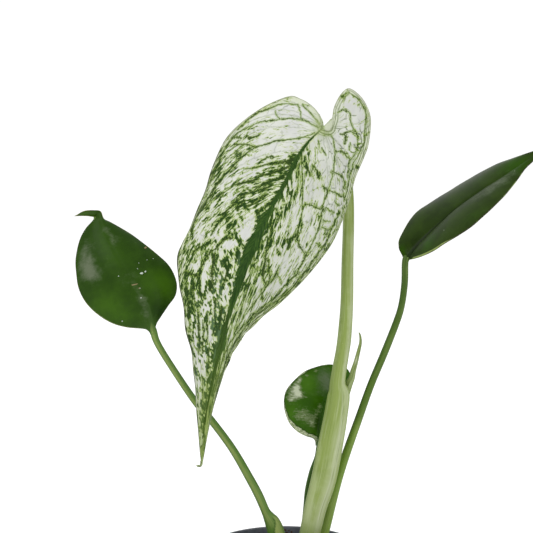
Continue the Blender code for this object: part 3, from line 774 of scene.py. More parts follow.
    if "drawnVeins" in blade:
        drawn = []
        for thick0, thick1, *stops in blade["drawnVeins"]:
            points = [(x, z, 0.0) for x, z in stops]
            way = alongCurve(points, np.linspace(0, 1, 30 * len(stops)))
            drawn.append((onBlade(way[:, :2]), (thick0, thick1)))
        veinSide, veinAway, veinWeight = besideLines(shape, drawn, face)
        keep("veinSide", veinSide)
        keep("veinAway", veinAway)
        keep("veinWeight", veinWeight)
    for label in ("ripe", "grey", "paintedShade", "rim", "rimReach", "coarse", "gather", "outline", "rimPale"):
        if label in blade:
            left, right = (read(blade[label][k], row) for k in (0, 1))
            keep(label, np.where(across[None] < 0, left[:, None], right[:, None]))
    for label in ("green", "net", "pale", "tone", "dustAndSheen"):
        values = np.zeros_like(fromRib)
        if label in blade:
            at = np.array(blade[label + "Rows"])
            cols = np.array(blade.get(label + "Across", [0, 0.25, 0.5, 0.75, 1]))
            halves = (slice(0, middle), slice(middle, columns + 1))
            for span, grid in zip(halves, blade[label]):
                grid = np.array(grid, float)
                downTo = np.array([np.interp(row, at, grid[:, k]) for k in range(len(cols))]).T
                values[:, span] = np.array([np.interp(t[0, span], cols, one) for one in downTo])
        for where, rowAt, acrossAt, size, more in blade.get(label + "Spots", []):
            near = int(np.argmin(np.abs(row - rowAt)))
            column = int(np.argmin(np.abs(across - where * acrossAt)))
            values += more * np.exp(-(np.linalg.norm(shape - shape[near, column], axis=-1) / size) ** 2)
        for x, z, size, tall, more in blade.get(label + "Blots", []):
            gap = np.linalg.norm((shape - onBlade([(x, z)])[0]) / (1, 1, tall), axis=-1)
            values += more * np.exp(-(gap / size) ** 2)
        keep(label, values)

    # thicker along the midrib and the main veins, all of it on the back
    ribThick = [(0, 0.1), (0.04, 0.5), (0.12, 1.4), (0.3, 1.2), (0.75, 0.3), (1, 0.05)]
    ribThick = blade.get("ribThick", 1.0) * read(ribThick, ribSpot)
    ribWide, veinThick, veinWide, thickest = 0.8, 0.25, 0.7, 2.4
    underRib = ribThick * np.exp(-(ribAway / ribWide) ** 2)
    underVeins = veinThick * inner * np.exp(-(whole * veinGap / veinWide) ** 2)
    depth = blade["thickness"] + underRib + underVeins
    depth = np.minimum(depth, thickest) / thickest
    body = piece.vertex_groups.new(name="depth")
    levels = np.round(backInOrder(order, depth.ravel()), 2)
    for level in np.unique(levels):
        body.add([int(v) for v in np.flatnonzero(levels == level)], float(level), "REPLACE")

    pick(piece)
    bpy.ops.object.mode_set(mode="EDIT")
    bpy.ops.mesh.select_all(action="SELECT")
    bpy.ops.mesh.remove_doubles(threshold=0.00001)
    bpy.ops.object.mode_set(mode="OBJECT")
    facing = np.empty(len(piece.data.polygons) * 3)
    piece.data.polygons.foreach_get("normal", facing)
    if (facing.reshape(-1, 3) @ face).sum() < 0:
        piece.data.flip_normals()
    piece.data.materials.append(top)
    piece.data.materials.append(back)
    applyModifier(piece, "SOLIDIFY", thickness=thickest * mm, offset=-1.0, vertex_group="depth",
                  material_offset=1, material_offset_rim=0)
    bpy.ops.object.shade_smooth_by_angle(angle=math.radians(50))
    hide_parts(node)
    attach(piece, "root")
    return piece


# The outlines and midribs of the blades, and below the paths of the stalks and the new leaf, were printed
# by another program, which worked them out from picked points; some were then changed.
mainBlade = {
    "midrib": [
        (75.6, 21.4, 178.6), (65.1, 14.4, 168.1), (55.1, 7.4, 149.6), (44.1, 2.4, 129.6),
        (30.6, 0.4, 97.6), (20.1, 4.4, 54.6), (13.6, 9.4, 21.1), (12.7, 11.6, 5.0), (12.2, 12.2, 1.2),
        (10.9, 12.4, 0.3), (9.6, 12.4, 1.0)],
    "left": [
        (75.6, 21.4, 178.6), (74.1, 22.9, 185.1), (69.6, 24.9, 190.1), (64.1, 26.4, 193.1),
        (57.6, 27.4, 194.1), (41.7, 25.4, 186.8), (26.4, 22.4, 174.2), (18.0, 19.4, 156.6),
        (13.1, 16.4, 141.1), (4.1, 13.4, 121.6), (0.1, 12.4, 109.1), (3.1, 11.4, 89.1),
        (5.1, 11.4, 71.1), (8.1, 11.4, 56.6), (10.1, 11.4, 28.1), (11.4, 11.9, 9.6), (11.9, 12.2, 3.4),
        (11.5, 12.3, 1.4), (10.7, 12.4, 0.8), (9.6, 12.4, 1.0)],
    "right": [
        (75.6, 21.4, 178.6), (79.4, 21.9, 177.9), (80.7, 22.9, 182.4), (81.2, 24.4, 188.2),
        (84.6, 27.4, 194.8), (88.9, 29.9, 198.2), (93.7, 31.9, 195.6), (98.2, 33.9, 190.0),
        (101.3, 34.4, 181.6), (100.1, 32.4, 169.6), (97.3, 30.4, 161.4), (93.0, 27.4, 151.5),
        (90.6, 24.9, 143.1), (87.1, 22.4, 133.1), (82.0, 18.9, 120.7), (76.2, 16.4, 111.8),
        (66.2, 13.9, 100.1), (52.5, 11.9, 87.1), (41.1, 10.9, 78.1), (32.1, 10.4, 67.1),
        (24.6, 10.4, 53.1), (19.6, 11.4, 35.6), (15.8, 11.9, 17.6), (13.6, 12.1, 5.0), (12.7, 12.2, 0.8),
        (11.0, 12.4, -0.1), (9.6, 12.4, 1.0)],
    "face": (0.0, -0.99, 0.12), "camber": 0.05, "across": 72, "along": 310, "thickness": 0.45,
    # row, share of the midrib, share of the left margin, share of the right margin
    "rows": [
        (0, 0, 0, 0), (0.4, 0, 0.3, 0.6), (0.45, 0.03, 0.36, 0.63), (0.5, 0.1, 0.46, 0.675),
        (0.555, 0.2, 0.59, 0.725), (0.61, 0.3, 0.69, 0.77), (0.665, 0.4, 0.765, 0.811),
        (0.72, 0.5, 0.825, 0.847), (0.775, 0.6, 0.87, 0.88), (0.83, 0.7, 0.908, 0.912),
        (0.885, 0.8, 0.942, 0.943), (0.94, 0.9, 0.972, 0.972), (1, 1, 1, 1)],
    "leftBulge": [(0, 0.1), (0.15, 0.3), (0.3, 0.4), (0.4, 0.32), (0.6, 0.27), (0.8, 0.16), (0.92, 0.06),
                  (1, 0)],
    "rightBulge": [(0, -0.35), (0.1, -0.25), (0.2, -0.05), (0.3, 0.1), (0.4, 0.18), (0.5, 0.23),
                   (0.6, 0.26), (0.68, 0.22), (0.8, 0.09), (0.9, 0.03), (1, 0)],
    "leftVeins": [0.08, 0.18, 0.27, 0.36, 0.43, 0.49, 0.54, 0.59, 0.64, 0.69, 0.74, 0.80, 0.86, 0.92],
    "rightVeins": [0.06, 0.13, 0.2, 0.27, 0.34, 0.41, 0.47, 0.53, 0.59, 0.65, 0.71, 0.77, 0.84, 0.92],
    "ribHalfLeft": [(0, 0.3), (0.06, 0.7), (0.12, 1.3), (0.2, 1.4), (0.26, 1.3), (0.285, 3.3), (0.31, 2.6),
                    (0.37, 3.8), (0.42, 2.6), (0.48, 1.3), (0.53, 1.0), (0.58, 0.6), (0.64, 2.2), (0.7, 1.5),
                    (0.76, 1.0), (0.82, 0.4), (1, 0.1)],
    "ribHalf": [(0, 0.3), (0.06, 0.7), (0.12, 1.3), (0.2, 1.4), (0.26, 1.6), (0.31, 2.7), (0.37, 3.1),
                (0.42, 2.8), (0.48, 3.7), (0.53, 2.2), (0.58, 2.2), (0.64, 2.0), (0.7, 1.0), (0.76, 0.5),
                (0.82, 0.15), (1, 0.1)],
    "channel": 0.5, "quilt": 0.35, "wave": 0.5, "footReach": 9.0,
    # how green, by row and share of the way to the margin; then single darker or paler patches
    "greenAcross": [0, 0.15, 0.3, 0.45, 0.6, 0.8, 1],
    "greenRows": [0, 0.2, 0.3, 0.4, 0.43, 0.47, 0.51, 0.54, 0.58, 0.61, 0.65, 0.69, 0.73, 0.78, 0.83, 0.9, 1],
    "green": (
        [[-0.3, -0.3, -0.2, -0.2, -0.1, 0, 0.1], [-0.3, -0.3, -0.2, 0, 0.05, 0.1, 0.2],
         [-0.3, -0.3, -0.2, 0, 0.05, 0.1, 0.2], [-0.2, -0.2, -0.1, 0, 0.1, 0.2, 0.2],
         [-0.1, 0, 0, 0.1, 0.3, 0.45, 0.4], [0.2, -0.05, 0.05, 0.15, 0.4, 0.5, 0.4],
         [0.6, 0.3, 0.3, 0.35, 0.35, 0.35, 0.5], [0.5, 0.4, 0.45, 0.45, 0.35, 0.4, 0.55],
         [0.55, 0.4, 0.45, 0.4, 0.4, 0.45, 0.5], [0.7, 0.45, 0.5, 0.5, 0.45, 0.5, 0.55],
         [0.7, 0.5, 0.55, 0.5, 0.45, 0.45, 0.5], [0.75, 0.5, 0.5, 0.45, 0.4, 0.4, 0.45],
         [0.85, 0.65, 0.5, 0.4, 0.4, 0.4, 0.5], [0.85, 0.75, 0.6, 0.4, 0.4, 0.45, 0.5],
         [0.8, 0.75, 0.6, 0.5, 0.45, 0.45, 0.5], [0.5, 0.4, 0.5, 0.5, 0.5, 0.5, 0.5], [0.5] * 7],
        [[-0.4, -0.3, -0.2, -0.1, 0, 0, 0.1], [-0.4, -0.4, -0.2, 0, 0, 0.05, 0.2],
         [-0.4, -0.3, -0.1, 0.1, 0.1, 0.25, 0.4], [-0.2, -0.1, 0, 0.1, 0.15, 0.3, 0.5],
         [0.1, 0.3, 0.1, 0.1, 0.1, 0.3, 0.5], [0.25, 0.3, 0.2, 0.3, 0.35, 0.3, 0.5],
         [0.35, 0.3, 0.3, 0.35, 0.25, 0.2, 0.35], [0.45, 0.4, 0.35, 0.35, 0.25, 0.25, 0.4],
         [0.55, 0.45, 0.4, 0.35, 0.25, 0.3, 0.4], [0.6, 0.5, 0.45, 0.35, 0.3, 0.35, 0.4],
         [0.7, 0.55, 0.4, 0.3, 0.3, 0.35, 0.4], [0.7, 0.6, 0.45, 0.35, 0.35, 0.4, 0.5],
         [0.7, 0.6, 0.5, 0.4, 0.4, 0.45, 0.5], [0.7, 0.6, 0.55, 0.5, 0.5, 0.5, 0.5],
         [0.7, 0.6, 0.6, 0.6, 0.6, 0.6, 0.6], [0.6, 0.5, 0.5, 0.5, 0.5, 0.5, 0.5], [0.5] * 7]),
    # darker or paler patches: millimetres across and up, size, how tall for their width, how much
    "greenBlots": [
        (57, 161.5, 1.9, 0.8, 0.2), (39, 174, 1.4, 0.7, 0.26), (31.5, 166, 1.4, 1, 0.29),
        (33.5, 164.5, 1.5, 1, 0.29), (25, 165, 1.4, 1.6, 0.2), (31, 159, 1.2, 0.8, 0.33),
        (23, 156.5, 1.7, 1.4, 0.2), (34.3, 149, 1.1, 1.4, 0.26), (22, 142.5, 1.5, 1.2, 0.29),
        (35, 139.5, 1.9, 1.2, 0.2), (16, 138, 1.7, 1.4, 0.2), (46.5, 134.5, 2.5, 1.6, 0.33),
        (30, 131, 2.5, 1.6, 0.26), (26, 134, 1.7, 1.4, 0.16), (16, 131.5, 2, 1, 0.16),
        (18, 121.5, 2.2, 1.2, 0.26), (28, 118, 2.5, 1, 0.16), (26, 111, 3.1, 1.4, 0.26),
        (33, 114, 2.5, 2, 0.2), (8, 111.5, 2.5, 0.8, 0.13), (18, 99, 1.9, 1.6, 0.33),
        (24, 104, 1.7, 1.8, 0.2), (14, 93.5, 1.7, 1, 0.2), (22, 80, 2, 2, 0.16), (12, 84, 1.7, 2, 0.13),
        (23, 70, 1.7, 2, 0.2), (20, 66, 1.7, 2.4, 0.23), (17, 56, 1.2, 1.2, 0.23), (13, 52, 1.4, 1, 0.23),
        (19, 51, 1.5, 1, 0.2), (18, 44, 1.2, 2, 0.23), (61.5, 124, 1.7, 1, 0.26), (58.5, 121, 1.5, 1.4, 0.29),
        (58, 140, 1.7, 2, 0.23), (54.5, 138, 1.4, 2, 0.23), (72.5, 156, 1.4, 1.4, 0.26),
        (73.3, 162, 1.2, 1, 0.26), (68.5, 162, 1.2, 2, 0.1), (53.5, 116, 1.2, 1, 0.16),
        (80.5, 136.5, 1.5, 0.8, 0.23), (73, 133, 1.4, 1.4, 0.2), (67, 131, 1.4, 1.4, 0.13),
        # paler
        (50, 168, 4, 0.7, -0.35), (36, 161.5, 3.4, 0.7, -0.35), (42, 158, 3, 0.6, -0.2),
        (37, 155.5, 4, 0.5, -0.25), (26, 152, 2, 1.4, -0.3), (28, 144.5, 3, 0.9, -0.4),
        (38, 149.5, 3, 0.5, -0.15), (24, 138.5, 2, 1, -0.3), (36.5, 128, 3.6, 1, -0.7),
        (28, 120.5, 3.4, 0.8, -0.6), (20, 125, 2.4, 0.8, -0.4), (12, 125.5, 2.4, 1.2, -0.4),
        (14.5, 104, 1.6, 2, -0.5), (9.5, 108, 2.2, 0.8, -0.3), (22.5, 103, 1.4, 1.6, -0.3),
        (31, 103, 1.6, 1.4, -0.35), (25.5, 97, 1.8, 1.4, -0.35), (15.5, 88, 1.6, 2.4, -0.3),
        (17.8, 72, 1.6, 3, -0.35), (9.8, 68, 1.6, 3, -0.25), (65, 118, 3, 1.6, -0.4),
        (56, 111, 3.4, 1.4, -0.35), (67.5, 134, 2, 1.6, -0.4), (61, 136, 1.4, 3, -0.4),
        (69, 147, 4, 1.4, -0.25), (76, 160, 3, 2, -0.25), (51, 112, 1.6, 2, -0.35), (42.5, 101, 1, 3, -0.35),
        (52, 99, 2.4, 1, -0.35), (70, 126, 2, 2, -0.3)],
    "netRows": [0, 0.1, 0.2, 0.3, 0.4, 0.5, 0.6, 0.8, 1.0],
    "net": (
        [[0.5] * 5, [0.5] * 5, [0.4] * 5, [0.3] * 5, [0.3] * 5, [0.2] * 5, [0.2] * 5, [0.1] * 5, [0] * 5],
        [[0.5] * 5, [0.7] * 5, [0.8] * 5, [0.8] * 5, [0.6] * 5, [0.4] * 5, [0.3] * 5, [0.1] * 5, [0] * 5]),
    # thickness at both ends, then places in millimetres across and up
    "drawnVeins": [
        # round the left lobe
        (0.5, 0.7, (73, 179), (70, 180.5), (66, 182.5), (60, 183.5), (55, 183.2), (50, 182.7)),
        (0.9, 0.4, (50, 182.7), (45, 182), (41, 181)),
        (0.4, 1.1, (41, 181), (37.5, 179.2), (33, 176.8), (29.5, 174)),
        (0.9, 0.7, (29.5, 174), (27, 170.5), (24.5, 167), (22.5, 162), (20.5, 157.5), (18, 152)),
        (0.4, 0.8, (63, 190), (58.5, 190.7), (53, 190.2), (49.5, 188.8), (46, 187.4)),
        (1.0, 0.6, (46, 187.4), (43, 186.5), (40, 184.7), (36, 181.8), (32, 178)),
        (0.4, 0.4, (63, 190), (64, 187), (64.6, 183)), (0.3, 0.3, (51.3, 187), (52.3, 184.5), (54, 183.2)),
        (0.5, 0.4, (65.5, 190), (70, 185.2), (73.5, 181)),
        # second side vein
        (0.5, 0.6, (71, 176), (65, 174), (60, 173.3), (55, 172.8)),
        (1.0, 0.9, (55, 172.8), (51, 172.4), (48.5, 171.5), (46, 170.6), (43, 170)),
        (0.8, 1.1, (43, 170), (40.5, 169), (37.5, 167), (34.5, 164.7)),
        (0.8, 0.9, (34.5, 164.7), (31.5, 161.8), (28.7, 158.7), (26, 156)),
        (0.9, 0.8, (26, 156), (23.5, 153), (20.5, 149.2), (18.4, 145.5), (15.5, 141.5), (12.5, 137),
         (10, 132), (8, 127)), (0.8, 0.7, (30.7, 170.3), (34, 170.5), (38, 170.3), (40.5, 169.3)),
         (1.2, 1.0, (31, 173.8), (33, 173.6)), (1.3, 0.8, (38, 173.7), (41, 174.8), (42.5, 175.3)),
         (1.1, 1.3, (44.7, 163.1), (46.5, 163.8), (48.8, 164.8)), (0.9, 0.7, (50, 164), (51, 164.6)),
        # third to fifth
        (3.4, 1.7, (59.5, 163), (57, 162.2), (54.5, 162)),
        (1.6, 0.9, (54.5, 162), (49.5, 161.5), (46, 160.7), (43, 160), (40, 159)),
        (0.7, 0.4, (40, 159), (35.5, 158.5)),
        (2.3, 1.6, (59.5, 160.5), (56, 159), (52.5, 157.8), (49.5, 156.6), (47, 156), (44.5, 155.8)),
        (1.0, 0.6, (44.5, 155.8), (42, 156.3)),
        (1.6, 1.4, (42, 153.6), (38.5, 152.7), (35, 151.8), (31.5, 151)),
        (0.8, 0.8, (31.5, 151), (28.5, 149.3), (25.5, 147.2), (21.5, 144.6), (18, 142), (15, 138.5)),
        (1.0, 0.9, (55, 154.4), (51.5, 153.8), (48.5, 152.8), (45.5, 151.7), (42.5, 149.8), (40, 147.9)),
        (0.9, 1.0, (40, 147.9), (37, 146.4), (33.5, 144.8), (31, 142.3), (28.5, 139.8)),
        (1.2, 1.1, (28.5, 139.8), (26.5, 137.5), (24.5, 135.3), (22.5, 132.3), (20.5, 129), (18.5, 125.5)),
        (1.3, 0.8, (48.5, 150.1), (46, 148.8), (43.5, 147.4)),
        (0.8, 1.3, (46.5, 145.8), (43, 143.7), (40, 141.8), (37, 139.8)),
        (1.5, 0.8, (50.5, 143.5), (47, 141), (44, 139), (42, 137)),
        (1.0, 1.6, (35, 142.5), (33, 140.5), (32, 138.5)),
        # lower left, mostly running down
        (1.6, 1.0, (28.5, 124), (25.5, 123.3), (23, 121), (21, 118.5), (18.5, 117)),
        (1.8, 1.1, (18.5, 117), (16.3, 114.5), (14.7, 112), (13.7, 109)),
        (1.0, 0.8, (13.7, 109), (12.7, 106), (11.5, 103)),
        (1.2, 1.0, (16.5, 120.8), (13.8, 119.2), (10.6, 117.3), (8.5, 115)),
        (1.6, 2.6, (20, 115), (19.5, 112), (19, 108), (18.6, 104)), (3.0, 3.6, (18.8, 101.5), (18, 98)),
        (1.2, 1.6, (26.5, 108), (25.8, 104), (25, 101)), (1.0, 1.4, (6, 104.6), (9, 104), (12, 103.6)),
        (1.0, 1.6, (12.2, 102.5), (12.2, 98.5), (12.7, 94.5), (14.7, 92.5)),
        (0.8, 0.8, (5.2, 108), (5, 101), (5.6, 94), (6, 87), (6.5, 80), (7, 74)),
        (1.0, 0.8, (9, 100), (8.8, 95), (9.5, 90), (9.3, 85)),
        (1.1, 1.0, (11.2, 87), (11.3, 81), (11.7, 76), (11.7, 70), (11.5, 63)),
        (1.0, 0.8, (16.3, 85), (16, 79.5), (16.2, 74), (16, 69)),
        (1.2, 1.0, (20.5, 92), (20, 86), (20.3, 80), (19, 74)), (1.4, 1.0, (23.5, 88), (23, 82), (22.5, 77)),
        (1.0, 0.8, (13.8, 80), (14, 72), (13.6, 64)),
        # right lobe
        (0.55, 0.55, (84, 186.5), (86, 187.5), (88, 187), (89.7, 185.2), (90, 183), (90.4, 180), (92.2, 177),
         (93.8, 174)),
        (0.55, 0.55, (93.8, 174), (94.3, 171), (93.9, 168.5), (93.1, 166), (91.8, 163), (90.2, 161.5)),
        (0.7, 0.55, (90.2, 161.5), (89.4, 159), (89.2, 156), (88.6, 153)),
        (0.5, 0.6, (82.7, 166.3), (85.4, 166), (87.2, 164.8), (88.5, 163), (90.2, 161.5)),
        (1.2, 0.9, (85.4, 175), (87, 174.6), (87.7, 173), (87.2, 170.5)),
        (0.8, 0.5, (87, 175.5), (90, 176), (92.7, 175)), (0.5, 0.4, (90, 169.7), (89.7, 167)),
        (0.4, 0.6, (91.4, 194.5), (94.3, 192.5), (96.7, 188.8), (98.2, 186.7), (98.6, 183.5)),
        (0.6, 0.6, (98.6, 183.5), (98.4, 179.5), (97.9, 175.5), (97.7, 172.3)),
        (0.6, 0.6, (97.7, 172.3), (97.2, 169.2), (95.6, 165.8), (94, 163.3), (92.4, 160.3), (91, 156.8),
         (89.9, 153), (88.5, 147), (87, 141)), (0.5, 0.4, (86, 194.3), (89, 196)),
        # right of the midrib, running down
        (0.4, 0.8, (76.5, 175), (79.5, 174.8), (81, 172.5), (81.7, 169), (82, 165), (81.7, 161), (81, 157)),
        (0.6, 0.5, (81, 157), (80, 152), (78.3, 147)),
        (0.9, 0.8, (78.3, 147), (76.5, 142), (75.5, 139), (74.9, 134), (74, 129), (72.5, 125.3)),
        (0.7, 0.9, (72.5, 125.3), (71, 122), (69.2, 118), (66.8, 114)),
        (1.5, 1.0, (66.8, 114), (65.8, 111.3), (64.2, 108.7), (63, 106)),
        (1.2, 0.9, (62.2, 104), (60, 102.3), (58, 100), (55.5, 97.3), (52.9, 94.5)),
        (0.8, 0.7, (52.9, 94.5), (50.8, 92), (47.7, 89.5), (44.5, 87.3), (40.5, 84), (37, 80.3)),
        (0.7, 1.0, (37, 80.3), (33.3, 76.5), (30.2, 72.5), (27.5, 68.5)),
        (1.0, 1.2, (27.5, 68.5), (24.7, 62), (22.3, 55), (20.4, 48), (18.8, 41)),
        (1.2, 0.8, (18.8, 41), (17.2, 34), (15.8, 28), (14.6, 22)),
        (1.0, 1.0, (22, 64), (20, 57), (18.2, 50)),
        (0.9, 0.9, (13.4, 50), (13.6, 42), (13.2, 34), (12.8, 27)),
        (1.0, 0.8, (16, 46), (15.2, 39), (14.4, 31)), (0.9, 0.8, (16.8, 66), (16.4, 59), (15.8, 52)),
        (1.1, 0.7, (76, 149), (78.3, 147.1), (81.2, 146), (83.8, 144.5), (85.9, 143.5)),
        (0.7, 0.6, (80, 156.3), (83.2, 155.3), (85.8, 153.3), (86.9, 150.6), (87, 147.5)),
        (0.6, 1.2, (65.2, 140), (68.2, 140.4), (71, 139.2), (74, 137.6), (76.5, 136.8)),
        (0.7, 0.8, (64.6, 164), (64.9, 155.5), (65.2, 148), (65, 140.5), (64.6, 135), (63.4, 130),
         (62, 125.5)), (0.5, 0.5, (62.6, 160.5), (63, 154), (62.4, 147)),
         (0.9, 0.6, (75.4, 168), (77, 165.3)), (1.0, 0.8, (71.3, 159.3), (72.9, 156.3), (73.6, 153.8)),
         (0.7, 0.7, (67.5, 161.3), (68, 157.5), (69, 155.3)),
         (1.0, 1.3, (55.5, 120.8), (56.3, 122.3), (58.5, 123), (60.8, 123.6), (62.5, 125.8)),
         (1.8, 1.2, (58.6, 123), (58.4, 120.5), (57.8, 118.3)),
         (1.3, 0.9, (61.8, 124.5), (62.6, 121.5), (64, 118.5), (66, 115)),
         (0.9, 0.7, (52.3, 117.8), (53.7, 115.2)),
         (0.7, 0.7, (49.2, 138), (49.1, 130), (48, 122.5), (46.6, 117.5)),
         (1.8, 1.6, (46.6, 117.5), (45.8, 112), (45, 106)), (1.3, 1.0, (45, 106), (45, 102.5), (46.2, 100)),
         (0.8, 0.7, (47.5, 113), (48, 108), (48.4, 103.5), (47.2, 100)),
         (1.1, 0.8, (51.8, 106), (50.3, 102.5), (47.7, 99.7), (45.5, 97), (43.3, 94)),
         (0.8, 0.6, (43.3, 94), (40.8, 90.8), (38, 87), (35.4, 83.5), (33, 79.5), (30.5, 75)),
         (1.1, 0.8, (44, 97), (44.3, 94), (44.6, 91)), (0.5, 0.4, (52.8, 109), (52, 105.8)),
         (0.4, 0.4, (52, 105.3), (53.4, 102.3), (54.2, 99.7)),
         (0.7, 0.6, (40.6, 117), (40, 110.5), (38.7, 105), (37.2, 99.5), (35.5, 94), (33.6, 88), (31.8, 82),
          (30, 77)), (0.6, 0.5, (42.2, 109), (41, 102), (39.5, 96.5), (37, 91.5)),
        # short ones out to the right margin, and the line that follows it
        (0.6, 0.5, (77.6, 138), (79.5, 136.6), (81.2, 135.5)), (0.6, 0.4, (76, 131.6), (79.2, 131)),
        (0.6, 0.4, (75.6, 127.9), (79, 127)), (0.7, 0.5, (77, 125.5), (78.6, 123.5)),
        (0.7, 0.5, (72.5, 119.8), (74.5, 117.8)), (0.5, 0.4, (82, 141), (84, 139)),
        (0.7, 0.9, (84.6, 135), (82.6, 132), (81, 128.5), (79.5, 125.3), (78.4, 121.8), (76.7, 118.5)),
        (0.9, 0.9, (76.7, 118.5), (74.2, 115.3), (71.7, 112.2), (69.5, 109), (67, 105.5)),
        (1.0, 0.8, (67, 105.5), (64.5, 102.3), (62, 98.9), (58.8, 95.4), (55.7, 92.4), (52.5, 90)),
        (0.8, 0.6, (52.5, 90), (49.5, 88.2), (45.5, 85.9), (41.8, 83.3), (38.7, 80.3), (36, 77)),
        (1.0, 1.2, (36, 77), (32, 71.5), (28.7, 66), (25.8, 59.5), (23.8, 53)),
        (1.2, 1.0, (23.8, 53), (22.3, 47), (20.6, 40), (18.6, 32), (16.8, 25)),
    ],
    # how far the olive of the tip, the grey-green and the green lines along the margin go,
    # left and right, by row
    "ripe": ([(0.74, 0), (0.82, 0.5), (0.9, 0.85), (1, 1)], [(0.72, 0), (0.82, 0.6), (0.9, 0.9), (1, 1)]),
    "outline": ([(0, 0.2), (0.3, 0.5), (0.45, 0.9), (0.9, 0.9), (1, 0.5)], [(0, 0.3), (0.5, 0.3), (1, 0.4)]),
    "grey": ([(0.6, 0), (0.68, 0.7), (0.8, 0.7), (1, 0.2)], [(0.6, 0), (0.8, 0.2), (1, 0.1)]),
    # where the grey of painted shade lies, left and right, by row
    "paintedShade": ([(0, 0), (0.35, 0), (0.45, 0.2), (1, 0.25)],
             [(0, 0.1), (0.25, 0.4), (0.4, 0.5), (0.6, 0.45), (1, 0.3)]),
    "rim": ([(0, 0.6), (0.3, 0.7), (0.42, 0.4), (0.5, 0.5), (0.55, 0.3), (0.8, 0.3), (1, 0.3)],
            [(0, 0.4), (0.15, 0.6), (0.35, 0.8), (0.5, 1), (0.75, 1), (1, 0.3)]),
    "rimReach": ([(0, 0.3), (0.3, 0.3), (0.4, 3.2), (0.55, 4), (0.65, 3), (1, 3)],
                 [(0, 3.4), (0.6, 4), (1, 5)]),
    # how round the blotches are, and how much they gather along the veins
    "coarse": ([(0.54, 0), (0.64, 1), (0.85, 1), (1, 0.3)], [(0.6, 0), (0.8, 0.3), (1, 0.2)]),
    "gather": ([(0.42, 0), (0.48, 0.35), (0.54, 0.9), (0.6, 0.8), (0.66, 0.2), (1, 0)],
               [(0.42, 0.2), (0.5, 0.5), (0.6, 0.6), (0.66, 0)]),
}
mainLeaf = growBlade("mainLeaf", "main_leaf_blade", mainBlade, variegated, variegatedBack)
print("main leaf grown", len(mainLeaf.data.polygons))

leftBlade = {
    "midrib": [
        (41.6, 0.5, -2.2), (41.0, 0.8, 1.6), (38.8, 0.7, 12.9), (32.8, 1.7, 21.9), (23.3, 6.7, 37.9),
        (15.8, 13.7, 51.4), (13.3, 16.7, 58.9), (10.3, 14.7, 59.9), (5.3, 12.7, 60.4), (0.3, 11.7, 58.9)],
    "left": [
        (40.2, 1.6, -2.6), (39.2, 1.9, -0.9), (36.6, 2.5, 0.3), (27.3, 3.7, 0.9), (19.8, 4.7, 2.9),
        (11.8, 6.7, 7.4), (5.3, 8.7, 13.9), (1.8, 10.7, 20.9), (0.5, 12.7, 28.4), (0.3, 14.7, 36.4),
        (2.3, 16.7, 45.4), (5.8, 17.7, 51.9), (10.6, 16.9, 56.9), (8.3, 14.2, 58.4), (4.3, 12.7, 58.9),
        (0.3, 11.7, 58.9)],
    "right": [
        (43.1, 1.6, -2.6), (42.8, 1.8, 0.4), (43.7, 2.2, 3.4), (45.8, 3.2, 6.7), (49.5, 4.7, 12.1),
        (53.5, 7.7, 17.7), (53.5, 10.7, 25.1), (48.7, 13.7, 33.4), (37.2, 16.7, 42.9), (27.9, 18.7, 49.3),
        (18.8, 18.7, 54.7), (15.3, 18.2, 56.7), (13.8, 16.7, 60.7), (10.8, 15.2, 61.6),
        (5.3, 12.7, 61.6), (0.3, 11.7, 58.9)],
    "face": (0.1, -0.93, 0.35), "camber": 0.09, "across": 44, "along": 170, "thickness": 0.45,
    "rows": [(0, 0, 0, 0), (0.05, 0.04, 0.03, 0.02), (0.15, 0.07, 0.1, 0.1), (1, 1, 1, 1)],
    "leftBulge": [(0, 0), (0.05, 0.05), (0.1, 0.1), (1, 0.05)],
    "rightBulge": [(0, 0), (0.05, 0.05), (0.1, 0.1), (1, 0.05)],
    "leftVeins": [0.1, 0.19, 0.28, 0.37, 0.46, 0.55, 0.64, 0.74],
    "rightVeins": [0.1, 0.19, 0.28, 0.37, 0.46, 0.55, 0.64, 0.74],
    "ribHalf": [(0, 1.2), (0.3, 0.5), (1, 0.3)],
    "ribShow": [(0, 0.5), (0.25, 0.3), (0.4, 0), (0.72, 0), (0.8, 0.35), (1, 0.5)], "channel": 0.3,
    "channelShare": [(0, 0.6), (0.15, 1), (0.5, 0.35), (1, 0.1)], "quilt": 0.05, "wave": 0.06,
    "footReach": 12.0, "rimPale": ([(0, 0), (0.08, 0.45), (0.4, 0.4), (0.5, 0), (1, 0)], [(0, 0), (1, 0)]),
    # brighter or darker areas, then smudges of dust and painted sheen: millimetres across and up, size,
    # how tall for their width, how much
    "toneBlots": [(17, 13, 10, 0.9, 0.6), (49, 22, 5, 1.5, 0.4), (16, 46, 4, 2.4, 0.35),
                  (29, 7, 8, 0.6, 0.35), (46, 9, 3.4, 1.8, -0.75), (30, 33, 8, 1.2, -0.1),
                  (42, 12, 2.2, 2.4, -0.4), (3.5, 24, 2.4, 2, -0.3), (36, 37, 7, 0.8, -0.15),
                  (5, 60.3, 4, 0.5, 0.5), (40, 26, 7, 1.6, 0.5), (22, 38, 6, 1.2, 0.3),
                  (48, 25, 5, 1.6, 0.35)],
    "dustAndSheenBlots": [(5.5, 41, 4.4, 1.4, 0.35), (6, 34, 6, 1.2, 0.55), (8.6, 29, 6.4, 0.75, 0.6),
                   (15.5, 54, 2.6, 1.8, 0.3), (18.3, 50, 2.8, 1.7, 0.35), (21.5, 45.5, 3, 1.5, 0.3),
                   (34.0, 21, 3, 2, 0.25), (36.2, 16, 2.8, 2.4, 0.3), (38.4, 10.5, 2.6, 2.4, 0.3),
                   (29, 26, 5, 0.7, 0.22)],
}
leftLeaf = growBlade("leftLeaf", "left_leaf_blade", leftBlade, greenLeaf, greenLeafBack)

